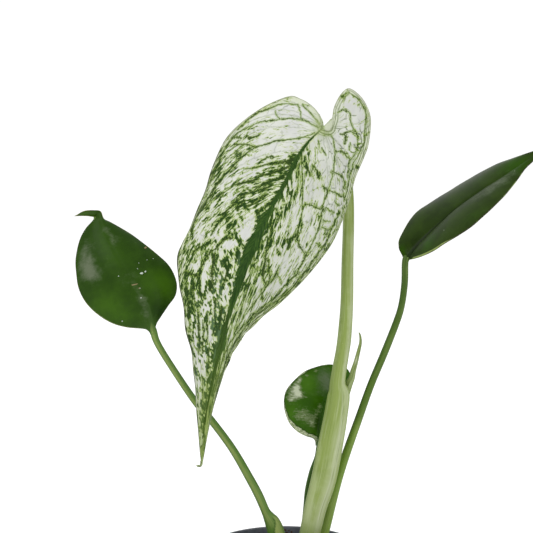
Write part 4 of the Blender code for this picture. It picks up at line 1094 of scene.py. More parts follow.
rightBlade = {
    "midrib": [
        (4.6, 23.4, -1.8), (6.4, 23.9, 2.6), (13.4, 24.3, 10.8), (28.4, 23.3, 25.8), (42.4, 23.3, 36.3),
        (53.9, 23.3, 43.8), (69.9, 23.3, 54.8), (78.4, 23.3, 59.8)],
    "left": [
        (2.7, 25.5, -2.4), (2.3, 26.2, 0.6), (1.1, 27.6, 3.0), (0.4, 29.6, 5.4), (1.4, 34.3, 9.8),
        (8.9, 42.3, 20.3), (17.4, 45.3, 26.3), (29.4, 46.3, 33.8), (42.4, 43.3, 42.3), (52.4, 37.3, 48.8),
        (60.4, 31.3, 52.8), (70.4, 25.3, 57.3), (78.4, 23.3, 59.8)],
    "right": [
        (5.4, 25, -2.4), (6.0, 24.6, -0.9), (7.8, 22.6, -0.1), (11.4, 16.3, 2.3), (16.4, 9.3, 6.3),
        (22.9, 4.3, 11.8), (33.4, 0.3, 19.3), (41.9, 1.3, 26.3), (52.4, 6.3, 35.3), (60.4, 14.3, 42.8),
        (65.4, 19.3, 48.3), (69.9, 21.3, 52.3), (78.4, 23.3, 59.8)],
    "face": (-0.58, -0.29, 0.76), "camber": 0.07, "across": 44, "along": 170, "thickness": 0.45,
    "rows": [(0, 0, 0, 0), (0.05, 0.03, 0.025, 0.02), (0.16, 0.05, 0.12, 0.12), (1, 1, 1, 1)],
    "leftBulge": [(0, 0), (0.05, 0.05), (0.1, 0.1), (1, 0.05)],
    "rightBulge": [(0, 0), (0.05, 0.05), (0.1, 0.1), (1, 0.05)],
    "leftVeins": [0.12, 0.2, 0.29, 0.38, 0.47, 0.56, 0.65, 0.75],
    "rightVeins": [0.12, 0.2, 0.29, 0.38, 0.47, 0.56, 0.65, 0.75],
    "ribHalf": [(0, 0.9), (0.4, 0.35), (1, 0.2)],
    "ribShow": [(0, 0.4), (0.06, 0.8), (0.4, 0.7), (0.52, 0.15), (0.75, 0), (1, 0.2)], "channel": 0.5,
    "channelShare": [(0, 0.6), (0.15, 1), (0.45, 0.9), (0.6, 0.4), (1, 0.1)], "quilt": 0.03, "wave": 0.04,
    "footReach": 3.5, "rimPale": ([(0, 0), (1, 0)],
                                  [(0, 0), (0.06, 0.3), (0.1, 1), (0.3, 0.9), (0.38, 0), (1, 0)]),
    # side, row, share of the way to the margin, size, how much
    "toneSpots": [(-1, 0.1, 0.7, 5, 0.5), (-1, 0.22, 0.15, 5, -0.5), (-1, 0.4, 0.3, 8, -0.3),
                  (-1, 0.45, 0.95, 7, -0.4), (-1, 0.25, 0.95, 5, -0.4), (1, 0.25, 0.5, 6, 0.45),
                  (-1, 0.8, 0.4, 8, 0.45), (1, 0.85, 0.3, 6, 0.3), (1, 0.5, 0.8, 5, 0.25),
                  (-1, 0.62, 0.5, 6, 0.15), (1, 0.18, 0.12, 4, -0.25)],
    # painted sheen, most of it in a band below the midrib, and a painted highlight beside the midrib
    "dustAndSheenSpots": [(1, 0.54, 0.3, 4.5, 0.3), (1, 0.62, 0.35, 5, 0.5), (1, 0.7, 0.35, 5, 0.55),
                   (1, 0.78, 0.3, 4, 0.35), (1, 0.42, 0.1, 2.4, 0.4), (1, 0.47, 0.12, 2.4, 0.4),
                   (1, 0.08, 0.4, 3, 0.3)],
}
growBlade("rightLeaf", "right_leaf_blade", rightBlade, rightLeafSkin, greenLeafBack)

smallBlade = {
    "midrib": [
        (18.6, 1.2, -3.0), (18.7, 1.8, 1.6), (19.6, 2.7, 8.1), (22.6, 5.7, 21.1), (26.6, 8.7, 31.6),
        (29.6, 10.7, 37.1), (31.1, 11.5, 39.1)],
    "left": [
        (17.2, 2.2, -3.4), (16.9, 2.0, -0.6), (15.4, 1.5, 1.1), (11.6, 0.7, 2.6), (7.1, 0.7, 5.1),
        (2.6, 1.2, 10.1), (0.1, 2.7, 18.1), (0.6, 4.7, 25.1), (4.1, 6.7, 30.4), (10.6, 8.7, 36.1),
        (17.6, 10.7, 38.6), (24.1, 11.5, 39.8), (31.1, 11.5, 39.1)],
    "right": [
        (20.4, 2.2, -3.4), (20.4, 2.1, -0.8), (22, 2.7, 1.2), (27.1, 3.7, 4.6), (31.4, 4.7, 10.1),
        (33.9, 6.7, 18.6), (35.9, 8.7, 27.1), (36.4, 9.7, 33.6), (34.6, 11, 37.4), (31.1, 11.5, 39.1)],
    "face": (-0.05, -0.93, 0.36), "camber": 0.08, "across": 44, "along": 140, "thickness": 0.4,
    "rows": [(0, 0, 0, 0), (0.06, 0.05, 0.035, 0.035), (0.16, 0.09, 0.1, 0.1), (1, 1, 1, 1)],
    "leftBulge": [(0, 0), (0.05, 0.05), (0.1, 0.1), (1, 0.05)],
    "rightBulge": [(0, 0), (0.05, 0.05), (0.1, 0.1), (1, 0.05)],
    "leftVeins": [0.12, 0.24, 0.36, 0.48, 0.6, 0.72], "rightVeins": [0.12, 0.24, 0.36, 0.48, 0.6, 0.72],
    "ribHalf": [(0, 0.8), (0.4, 0.4), (1, 0.2)], "ribShow": [(0, 0.6), (0.5, 0.3), (1, 0)], "channel": 0.3,
    "quilt": 0.06, "wave": 0.15, "footReach": 6.0,
    "rimPale": ([(0, 0), (0.04, 0.7), (0.12, 1), (0.28, 0.85), (0.38, 0.45), (0.48, 0.12), (0.8, 0.15),
                 (1, 0)], [(0, 0), (1, 0)]),
    # cream and grey patches, brighter or darker areas, painted dull sheen: millimetres across and up, size,
    # how tall for their width, how much
    "paleBlots": [(10.6, 14, 4.8, 0.9, 0.42), (7.2, 28.2, 2.4, 1.4, 0.85), (8.6, 32.4, 1.4, 1.6, 0.7),
                  (8.4, 24.6, 2.6, 0.8, 0.8), (3.8, 25.8, 3.2, 1.5, 0.5), (4.4, 22, 2.8, 0.6, 0.4),
                  (15, 9, 2.4, 1.4, 0.15), (12.0, 23.4, 1.2, 0.6, 0.4), (17.5, 36.8, 1.4, 0.6, 0.6),
                  (12.6, 34.6, 1.4, 0.6, 0.5), (8.5, 16, 3, 0.8, 0.16), (13.4, 11.5, 2.4, 1.4, 0.2),
                  (7, 12.5, 2.2, 1, 0.2), (19.5, 17.5, 2.2, 1.5, 0.4), (16, 9, 2, 1.8, 0.3),
                  (17.2, 14, 1.8, 1.6, 0.3)],
    "toneBlots": [(13, 31, 6, 1, 0.7), (4.5, 15, 3.2, 1.4, 0.5), (17, 22, 4, 0.8, 0.2),
                  (18.5, 9, 3.6, 1.8, -0.6), (24, 20, 4, 2, -0.2)],
    "dustAndSheenBlots": [(22.5, 33, 6.6, 1, 0.6), (24, 27, 5, 1.2, 0.4)],
}
growBlade("smallLeaf", "small_leaf_blade", smallBlade, patchedLeaf, greenLeafBack)
print("small leaves grown")


# ---- dust and bits lying on the left leaf

def layBits():
    # millimetres across and up, half length, half width, lean in degrees, colour
    corner = np.array(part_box("left_leaf_blade")[0]) / mm
    bits = {
        "paleBits": (tint(206, 216, 206), [
            (35.6, 29.6, 1.1, 0.6, 20), (37.6, 30.4, 0.7, 0.4, 50), (23.7, 28.4, 0.35, 0.25, 0),
            (38.4, 36, 0.25, 0.2, 0), (34.2, 34.8, 0.25, 0.2, 0), (41.5, 36.3, 0.25, 0.2, 0),
            (35.5, 17.3, 0.45, 0.25, 10), (33.6, 32, 0.25, 0.2, 0), (25.4, 4.4, 0.4, 0.25, 0),
            (35.0, 22.3, 0.3, 0.2, 0)]),
        "brownBits": (tint(150, 132, 92),
                      [(31.6, 24.0, 2.6, 0.3, 14), (34.6, 22.4, 0.5, 0.22, 40), (37.0, 41.4, 1.3, 0.5, 38)]),
    }
    for name, (colour, spots) in bits.items():
        material, _, skin = newMaterial(name)
        skin["Base Color"].default_value = colour
        skin["Roughness"].default_value = 0.6
        deselect()
        for x, z, long_, wide, lean in spots:
            start = Vector(((corner[0] + x) * mm, -0.2, (corner[2] + z) * mm))
            hit, spot, _, _ = leftLeaf.ray_cast(start, Vector((0, 1, 0)))
            if not hit:
                continue
            bpy.ops.mesh.primitive_ico_sphere_add(subdivisions=2, radius=1.0)
            bit = context.object
            laid = places(bit) * (long_, 0.12, wide)
            turn = math.radians(lean)
            cosine, sine = math.cos(turn), math.sin(turn)
            laid = laid @ np.array([[cosine, 0, sine], [0, 1, 0], [-sine, 0, cosine]])
            setPlaces(bit, (laid + np.array(spot) / mm - (0, 0.08, 0)) * mm)
        for piece in list(context.scene.objects):
            piece.select_set(piece.name.startswith("Icosphere"))
        context.view_layer.objects.active = bit
        bpy.ops.object.join()
        bit = context.object
        bit.name = name
        bpy.ops.object.shade_smooth()
        bit.data.materials.append(material)
        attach(bit, "root")


layBits()
print("bits laid on the left leaf")


# ---- stalks

def growStalk(name, nodes, stalk, material):
    # a grid rolled into a tube along the path; its seam is at the back
    corner = np.array(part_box(nodes[0])[0]) / mm
    around, along = stalk["around"], stalk["along"]
    piece, order, turned, share = newGrid(name, around, along)
    angle = (turned + 1) * math.pi
    path = np.array(stalk["path"], float)
    if path.shape[1] == 4:
        path = np.hstack([path, path[:, 3:4]])
    line = alongCurve(path, share)
    centre, half = line[:, :3], line[:, 3:5].copy()
    tangent = unit(np.gradient(centre, axis=0))
    wide = unit(np.cross(np.array([0.0, 1.0, 0.0]), tangent))
    deep = np.cross(tangent, wide)
    length = np.linalg.norm(np.diff(centre, axis=0), axis=1).sum()
    mmAlong = share * length
    for place, amount, spread in stalk.get("swell", []):
        half *= (1 + amount * np.exp(-((mmAlong - place * length) / spread) ** 2))[:, None]
    ends = np.minimum(smoothStep(-0.6, 1.2, mmAlong), smoothStep(-0.6, 1.2, length - mmAlong)) ** 0.5
    half *= ends[:, None]
    radial = np.ones((along + 1, around + 1))
    radial += stalk.get("ribs", 0.012) * np.sin(angle * 9)[None] * smoothStep(0, 4, mmAlong)[:, None]
    paleAndHighlightMark = np.zeros_like(radial)
    paintedShadeMark = np.zeros_like(radial)
    for seam in stalk.get("seams", []):
        # a sheath margin: a low step that climbs the stalk, pale on one side, with painted shade at its foot
        at = read(seam["at"], share)[:, None]
        begins = smoothStep(seam["from"], seam["from"] + 0.03, share)
        fade = (begins * smoothStep(seam["to"], seam["to"] - 0.02, share))[:, None]
        away = (angle[None] - at) * half.mean(axis=1)[:, None]
        risen = fade * seam["rise"] * smoothStep(-0.25, 0.25, away)
        radial += risen * smoothStep(seam["wide"], 0, away)
        over = away if seam["rise"] > 0 else -away
        paled = fade * smoothStep(0, 0.4, over) * smoothStep(seam["wide"], 0.3, over)
        paleAndHighlightMark += paled * seam["pale"]
        paintedShadeMark += fade * np.exp(-((over + 0.15) / 0.22) ** 2) * seam["dark"]
    for at, spread, start, stop, amount in stalk.get("tones", []):
        # a strip down one side, painted lighter as highlight where the amount is above 0 and darker as shade
        # where it is below
        turn = np.exp(-((angle[None] - at) / spread) ** 2)
        soft = 0.03
        begins = smoothStep(start - soft, start + soft, share)
        reach = (begins * smoothStep(stop + soft, stop - soft, share))[:, None]
        paleAndHighlightMark += max(amount, 0) * turn * reach
        paintedShadeMark += max(-amount, 0) * turn * reach
    offset = (wide[:, None] * (half[:, 0, None] * -np.sin(angle)[None] * radial)[..., None]
              + deep[:, None] * (half[:, 1, None] * np.cos(angle)[None] * radial)[..., None])
    shape = centre[:, None] + offset
    setPlaces(piece, backInOrder(order, (shape.reshape(-1, 3) + corner) * mm))
    whole = np.ones_like(radial)
    marks = {
        "along": mmAlong[:, None] * whole, "height": share[:, None] * whole,
        "round": angle[None] * np.mean(path[:, 3]) * whole,
        "paleAndHighlightMark": np.clip(paleAndHighlightMark, 0, 1), "paintedShadeMark": np.clip(paintedShadeMark, 0, 1),
    }
    for label, values in marks.items():
        setMark(piece, label, backInOrder(order, values.ravel()))
    pick(piece)
    bpy.ops.object.mode_set(mode="EDIT")
    bpy.ops.mesh.select_all(action="SELECT")
    bpy.ops.mesh.remove_doubles(threshold=0.000005)
    bpy.ops.mesh.fill_holes(sides=0)
    bpy.ops.mesh.select_all(action="SELECT")
    bpy.ops.mesh.normals_make_consistent(inside=False)
    bpy.ops.object.mode_set(mode="OBJECT")
    bpy.ops.object.shade_smooth_by_angle(angle=math.radians(60))
    piece.data.materials.append(material)
    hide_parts(*nodes)
    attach(piece, "root")
    return piece


mainStem = {
    "path": [
        (5.2, 8.8, -0.3, 5.2, 4.2), (6.7, 8.8, 5.2, 5.3, 4.2), (10.2, 8.8, 17.7, 5.6, 4.2),
        (13.2, 9.3, 31.7, 6, 4.2), (17.7, 9.8, 48.2, 6.8, 4.2), (22.2, 10.3, 72.7, 6.6, 4.2),
        (23.9, 10.8, 82.7, 6.3, 4.2), (25.4, 11.2, 94.0, 5.9, 4), (24.8, 11.2, 100.0, 4.3, 3.9),
        (25.6, 11.4, 107.5, 3.9, 3.8), (27.2, 11.8, 117.2, 3.7, 3.8), (28.3, 12.3, 125.7, 3.7, 3.7),
        (29.4, 13.3, 143.2, 3.4, 3.5), (29.7, 14.8, 166.7, 3.15, 3.2), (30.1, 16.3, 185.2, 3, 3.1),
        (29.7, 16.8, 201.2, 3, 3), (27.7, 15.3, 215.7, 3, 3), (23.7, 9.8, 226.7, 2.9, 2.8),
        (20.0, 5.0, 233.0, 2.3, 2.2), (17.9, 2.2, 236.0, 1.5, 1.4), (16.6, 0.6, 237.6, 0.7, 0.6)],
    "around": 56, "along": 300, "ribs": 0.012,
    "swell": [(0.93, 0.06, 9.0)],
    "seams": [{"at": [(0, 3.7), (0.15, 3.7), (0.2, 3.75), (0.26, 3.9), (0.33, 3.8), (0.4, 3.5), (0.42, 3.5)],
               "from": 0.1, "to": 0.42, "rise": -0.07, "wide": 1.2, "pale": 0.5, "dark": 0.45}],
    # where round the stalk, how wide, from, to, how much (painted lighter as highlight and pale streaks;
    # minus is painted shade)
    "tones": [(1.75, 0.3, 0, 1, -0.45), (2.5, 0.5, 0.04, 0.14, 0.25), (4.6, 0.3, 0.08, 0.4, -0.2),
              (4.55, 0.2, 0.42, 1, -0.35), (3.8, 0.5, 0.07, 0.32, 0.65), (3.9, 0.4, 0.32, 0.75, 0.45),
              (2.3, 0.4, 0.3, 0.75, -0.35), (3.1, 1.8, -0.1, 0.09, -0.8)],
}
growStalk("mainStalk", ["main_leaf_stalk"], mainStem, paleStalk)
spear = {
    "path": [
        (0.6, 4.8, 4.0, 1.8), (1.8, 4.6, 12.0, 2.1), (3.6, 4.2, 18.7, 2.1), (5.2, 3.6, 22.7, 1.7),
        (5.9, 2.9, 26.5, 1.45), (7.2, 1.7, 31.7, 1.15), (8.8, 1.1, 38.7, 0.9), (9.6, 1.1, 42.7, 0.7),
        (9.4, 1.1, 46.2, 0.5), (8.7, 1.1, 48.2, 0.3)],
    "around": 28, "along": 90, "ribs": 0.03,
    "seams": [{"at": [(0, 2.4), (1, 4.2)], "from": 0.0, "to": 1.0, "rise": 0.14, "wide": 3.0, "pale": 0.3,
               "dark": 0.7}],
    # darker edges as painted shade, and a pale band
    "tones": [(1.7, 0.4, 0, 1, -0.5), (4.5, 0.4, 0.6, 1, -0.5), (3.1, 0.5, 0.62, 0.7, 0.8)],
}
growStalk("newLeaf", ["new_leaf_spear"], spear, spearSkin)
leftStem = {
    "path": [
        (70.9, 7.3, -0.3, 4, 3.4), (69.9, 6.8, 6.2, 4.3, 3.4), (67.0, 6.3, 18.7, 4.6, 3.2),
        (65.0, 6.2, 24.2, 4.1, 3), (63.1, 6, 27.7, 3.2, 2.7), (61.2, 5.8, 31.2, 2.4, 2.4),
        (57.7, 5.3, 39.7, 2.4, 2.3), (53.2, 4.9, 48.7, 2.3, 2.2), (43.2, 4.3, 66.7, 2.1, 2),
        (30.7, 3.8, 84.2, 2, 1.9), (23.7, 3.3, 92.7, 1.9, 1.9), (12.2, 2.3, 110.7, 1.8, 1.8),
        (4.4, 1.7, 124.2, 1.8, 1.6), (2.2, 1.5, 131.2, 1.9, 1.4), (1.2, 1.6, 135.5, 1.3, 1.1),
        (0.3, 1.7, 139.5, 0.6, 0.6)],
    "around": 36, "along": 210,
    "seams": [{"at": [(0, 2.6), (0.08, 2.75), (0.13, 3.0), (0.17, 3.7), (1, 4.2)], "from": 0.0, "to": 0.19,
               "rise": 0.14, "wide": 8.0, "pale": 0.9, "dark": 0.9}],
    # darker edges as painted shade, a painted highlight down the middle, and a darker top
    "tones": [(1.75, 0.35, 0, 1, -0.65), (4.5, 0.35, 0, 1, -0.65), (2.9, 0.4, 0.16, 1, 0.75),
              (3.1, 2.5, 0.955, 1.2, -0.8)],
}
growStalk("leftStalk", ["left_leaf_stalk"], leftStem, greenStalk)
rightStem = {
    "path": [
        (2.6, 2.8, 0.8, 2.9), (5.2, 3.4, 8.3, 2.8), (8.4, 4, 21.3, 2.6), (15.4, 4.8, 49.3, 2.4),
        (25.9, 5.8, 80.8, 2.1), (31.9, 5.8, 98.3, 2), (38.9, 5.8, 115.8, 2), (45.4, 5.8, 133.3, 1.9),
        (47.8, 5.8, 142.3, 1.8), (49.1, 5.8, 153.3, 1.8), (49.2, 5.8, 163, 1.8), (49.4, 5.9, 166.3, 1.7),
        (49.8, 6.1, 168.0, 1.2), (50.4, 6.4, 169.2, 0.5)],
    "around": 36, "along": 210,
    # darker sides as painted shade, a paler strip, a wide darker stretch, and a lighter foot as painted light
    # where it stands behind the main stalk
    "tones": [(1.9, 0.5, 0.35, 0.95, -0.6), (4.6, 0.25, 0, 1, -0.35), (3.5, 0.4, 0.1, 0.5, 0.3),
              (3.1, 2.4, 0.45, 0.93, -0.4), (2.8, 0.9, -0.1, 0.22, 0.6)],
}
growStalk("rightStalk", ["right_leaf_stalk"], rightStem, brightStalk)
smallStem = {
    "path": [
        (2, 2, 0.1, 2.1), (2.7, 2.4, 6.2, 1.8), (3.9, 3, 16.2, 1.6), (5.0, 3.5, 28.7, 1.5),
        (5.9, 4, 38.7, 1.5), (7.9, 4.6, 48.2, 1.4), (9.4, 5.0, 52.5, 1.4), (11.1, 5.7, 57.2, 1.4),
        (11.9, 6.3, 62.0, 1.45), (12.2, 6.9, 65.5, 1.1), (12.6, 7.6, 69.0, 0.5)],
    "around": 30, "along": 120,
    # the whole stalk painted darker, as painted shadow
    "tones": [(3.1, 2.6, -0.1, 1.1, -0.85)],
}
growStalk("smallStalk", ["small_leaf_stalk"], smallStem, greenStalk)
print("stalks grown")


# ---- pot, soil and the stem's foot

def makePotPlastic():
    # dull recycled plastic: fine grain, long scuffs, dust on what faces up and dried soil low down and inside
    look = {"body": tint(70, 74, 84), "light": tint(94, 98, 107), "scuff": tint(112, 116, 126),
            "soilDust": tint(112, 92, 74)}
    material, tree, skin = newMaterial("potPlastic")
    place = objectPlace(tree)
    split = put(tree, "SeparateXYZ", {0: place}).outputs
    turn = calc(tree, "ARCTAN2", split[1], split[0])
    rolled = asVector(tree, times(tree, turn, 0.04), 0.0, split[2])
    clouds = noiseAt(tree, place, 34.0, 4.0)
    flow = noiseAt(tree, stretched(tree, rolled, (240.0, 1.0, 26.0)), 1.0, 3.0)
    ground = mix(tree, ramp(tree, timesPlus(tree, flow, 0.4, clouds), 0.55, 0.9), look["body"], look["light"])
    scratches = stretched(tree, rolled, (900.0, 1.0, 70.0), (0.0, 0.5, 0.0))
    scuffs = times(tree, ramp(tree, noiseAt(tree, scratches, 1.0, 2.0), 0.66, 0.72),
                  ramp(tree, noiseAt(tree, place, 60.0, 2.0), 0.5, 0.62))
    ground = mix(tree, times(tree, scuffs, 0.5), ground, look["scuff"])
    edges = useGroup(tree, edgeWear, Spot=place, Size=0.0006)[0]
    ground = mix(tree, times(tree, edges, 0.45), ground, look["scuff"])
    rise = put(tree, "SeparateXYZ", {0: put(tree, "NewGeometry").outputs["Normal"]}).outputs[2]
    distance = put(tree, "VectorMath", {0: asVector(tree, split[0], split[1])},
                   operation="LENGTH").outputs["Value"]
    wallOut = timesPlus(tree, split[2], 0.141, 0.0309)   # halfway through the wall, by height
    inside = times(tree, ramp(tree, minus(tree, distance, wallOut), 0.0004, -0.0002),
                  ramp(tree, split[2], 0.078, 0.071))
    low = ramp(tree, split[2], 0.012, 0.001)
    patchy = noiseAt(tree, place, 210.0, 5.0, 0.65)
    dusty = larger(tree, times(tree, inside, 0.9), times(tree, low, 0.5))
    dusty = larger(tree, dusty, ramp(tree, rise, 0.5, 1.0, 0.0, 0.35))
    dusty = times(tree, dusty, ramp(tree, patchy, 0.42, 0.68))
    ground = mix(tree, dusty, ground, look["soilDust"])
    grain = noiseAt(tree, place, 2600.0, 2.0)
    roughness = ramp(tree, plus(tree, clouds, dusty), 0.3, 1.2, 0.42, 0.72)
    relief = timesPlus(tree, flow, 0.5, timesPlus(tree, dusty, 0.5, grain))
    dressSkin(tree, skin, ground, roughness, relief, 0.28, 0.00012, 0.45)
    return material


def makeSoilSkin(name, look):
    # crumbly matter with fibres; Object noise at three sizes
    material, tree, skin = newMaterial(name)
    place = objectPlace(tree)
    big = noiseAt(tree, place, look["grainScale"] * 0.2, 3.0)
    small = noiseAt(tree, place, look["grainScale"], 5.0, 0.7)
    fibre = noiseAt(tree, stretched(tree, place, (1.0, 0.14, 1.0), (0.3, 0.4, 0.9)),
                    look["grainScale"] * 1.6, 2.0)
    ground = mix(tree, ramp(tree, small, 0.35, 0.68), look["dark"], look["light"])
    ground = mix(tree, ramp(tree, big, 0.5, 0.75, 0.0, 0.6), ground, look["warm"])
    ground = mix(tree, ramp(tree, fibre, 0.64, 0.74, 0.0, 0.7), ground, look["fibre"])
    # pits painted in the dark colour: painted shade in the hollows, which the relief also dents
    pitShade = useGroup(tree, flecks, Spot=place, Spacing=0.0021, Size=0.28, Share=0.3)[0]
    ground = mix(tree, times(tree, pitShade, look["pitShade"]), ground, look["dark"])
    roughness = ramp(tree, small, 0.3, 0.7, 0.82, 0.98)
    relief = timesPlus(tree, fibre, 0.5, minus(tree, small, times(tree, pitShade, 0.6)))
    dressSkin(tree, skin, ground, roughness, relief, 0.55, 0.0006, 0.2)
    return material


def makeCrownSkin():
    # the stem's foot: green above, corky and ringed with old leaf scars towards the soil
    look = {"green": tint(122, 146, 78), "pale": tint(168, 180, 122), "cork": tint(136, 112, 74),
            "scar": tint(88, 66, 40)}
    material, tree, skin = newMaterial("crownSkin")
    place = objectPlace(tree)
    height = put(tree, "SeparateXYZ", {0: place}).outputs[2]
    rough = noiseAt(tree, place, 300.0, 4.0, 0.65)
    wavy = timesPlus(tree, noiseAt(tree, place, 90.0, 2.0), 0.004, height)
    ring = calc(tree, "ABSOLUTE", calc(tree, "SINE", times(tree, wavy, 1500.0)))
    scars = ramp(tree, ring, 0.22, 0.06)
    ground = mix(tree, ramp(tree, rough, 0.4, 0.65), look["green"], look["pale"])
    corky = ramp(tree, timesPlus(tree, rough, 0.006, height), 0.0765, 0.0735)
    ground = mix(tree, corky, ground, look["cork"])
    ground = mix(tree, times(tree, scars, 0.6), ground, look["scar"])
    # specks on the cork painted in the scar colour: painted shade in its cracks
    crackShade = useGroup(tree, flecks, Spot=place, Spacing=0.0016, Size=0.25, Share=0.4)[0]
    ground = mix(tree, times(tree, crackShade, times(tree, corky, 0.6)), ground, look["scar"])
    roughness = ramp(tree, corky, 0.0, 1.0, 0.5, 0.85)
    relief = minus(tree, rough, times(tree, scars, 0.8))
    dressSkin(tree, skin, ground, roughness, relief, 0.4, 0.0004, 0.35)
    return material


potPlastic = makePotPlastic()
pottingMix = makeSoilSkin("pottingMix", {
    "dark": tint(38, 28, 20), "light": tint(84, 62, 44), "warm": tint(96, 68, 44),
    "fibre": tint(132, 104, 72), "grainScale": 900.0, "pitShade": 0.8})
barkSkin = makeSoilSkin("barkSkin", {
    "dark": tint(66, 42, 28), "light": tint(132, 92, 60), "warm": tint(120, 72, 44),
    "fibre": tint(164, 126, 86), "grainScale": 520.0, "pitShade": 0.4})
perliteSkin = makeSoilSkin("perliteSkin", {
    "dark": tint(196, 192, 182), "light": tint(232, 230, 224), "warm": tint(206, 196, 178),
    "fibre": tint(222, 218, 210), "grainScale": 1100.0, "pitShade": 0.25})
crumbSkin = makeSoilSkin("crumbSkin", {
    "dark": tint(52, 34, 24), "light": tint(104, 72, 50), "warm": tint(128, 74, 50),
    "fibre": tint(138, 104, 74), "grainScale": 1000.0, "pitShade": 0.5})
drySkin = makeSoilSkin("drySheathSkin", {
    "dark": tint(122, 92, 58), "light": tint(176, 146, 100), "warm": tint(150, 112, 72),
    "fibre": tint(196, 170, 126), "grainScale": 420.0, "pitShade": 0.2})
crownSkin = makeCrownSkin()
print("pot and soil materials made")


def ringBody(name, rings, sides):
    # one circle extruded from ring to ring; rings are radius and height in millimetres
    deselect()
    radius, height = rings[0]
    bpy.ops.mesh.primitive_circle_add(vertices=sides, radius=radius * mm, location=(0, 0, height * mm))
    bpy.ops.object.transform_apply(location=True, rotation=False, scale=False)
    piece = context.object
    piece.name = name
    bpy.ops.object.mode_set(mode="EDIT")
    bpy.ops.mesh.select_all(action="SELECT")
    for nextRadius, nextHeight in rings[1:]:
        bpy.ops.mesh.extrude_edges_move(TRANSFORM_OT_translate={"value": (0, 0, (nextHeight - height) * mm)})
        ratio = nextRadius / radius
        bpy.ops.transform.resize(value=(ratio, ratio, 1), center_override=(0, 0, 0))
        radius, height = nextRadius, nextHeight
    bpy.ops.mesh.select_all(action="SELECT")
    bpy.ops.mesh.fill_holes(sides=0)
    bpy.ops.mesh.select_all(action="SELECT")
    bpy.ops.mesh.normals_make_consistent(inside=False)
    bpy.ops.object.mode_set(mode="OBJECT")
    return piece


potShape = {
    "rimRadius": 45.0, "height": 80.0, "baseRadius": 32.0, "wall": 1.5, "rimHeight": 9.0, "rimStep": 3.0,
    "channelIn": 12.0, "channelOut": 24.0, "channelLift": 2.5, "holes": 8, "holeRadius": 3.0, "lugs": 6,
    "sides": 160,
}


def wallAt(height):
    # the pot's outer radius under the rim band
    top = potShape["rimRadius"] - potShape["rimStep"]
    base, bandFoot = potShape["baseRadius"], potShape["height"] - potShape["rimHeight"]
    return base + (top - base) * height / bandFoot


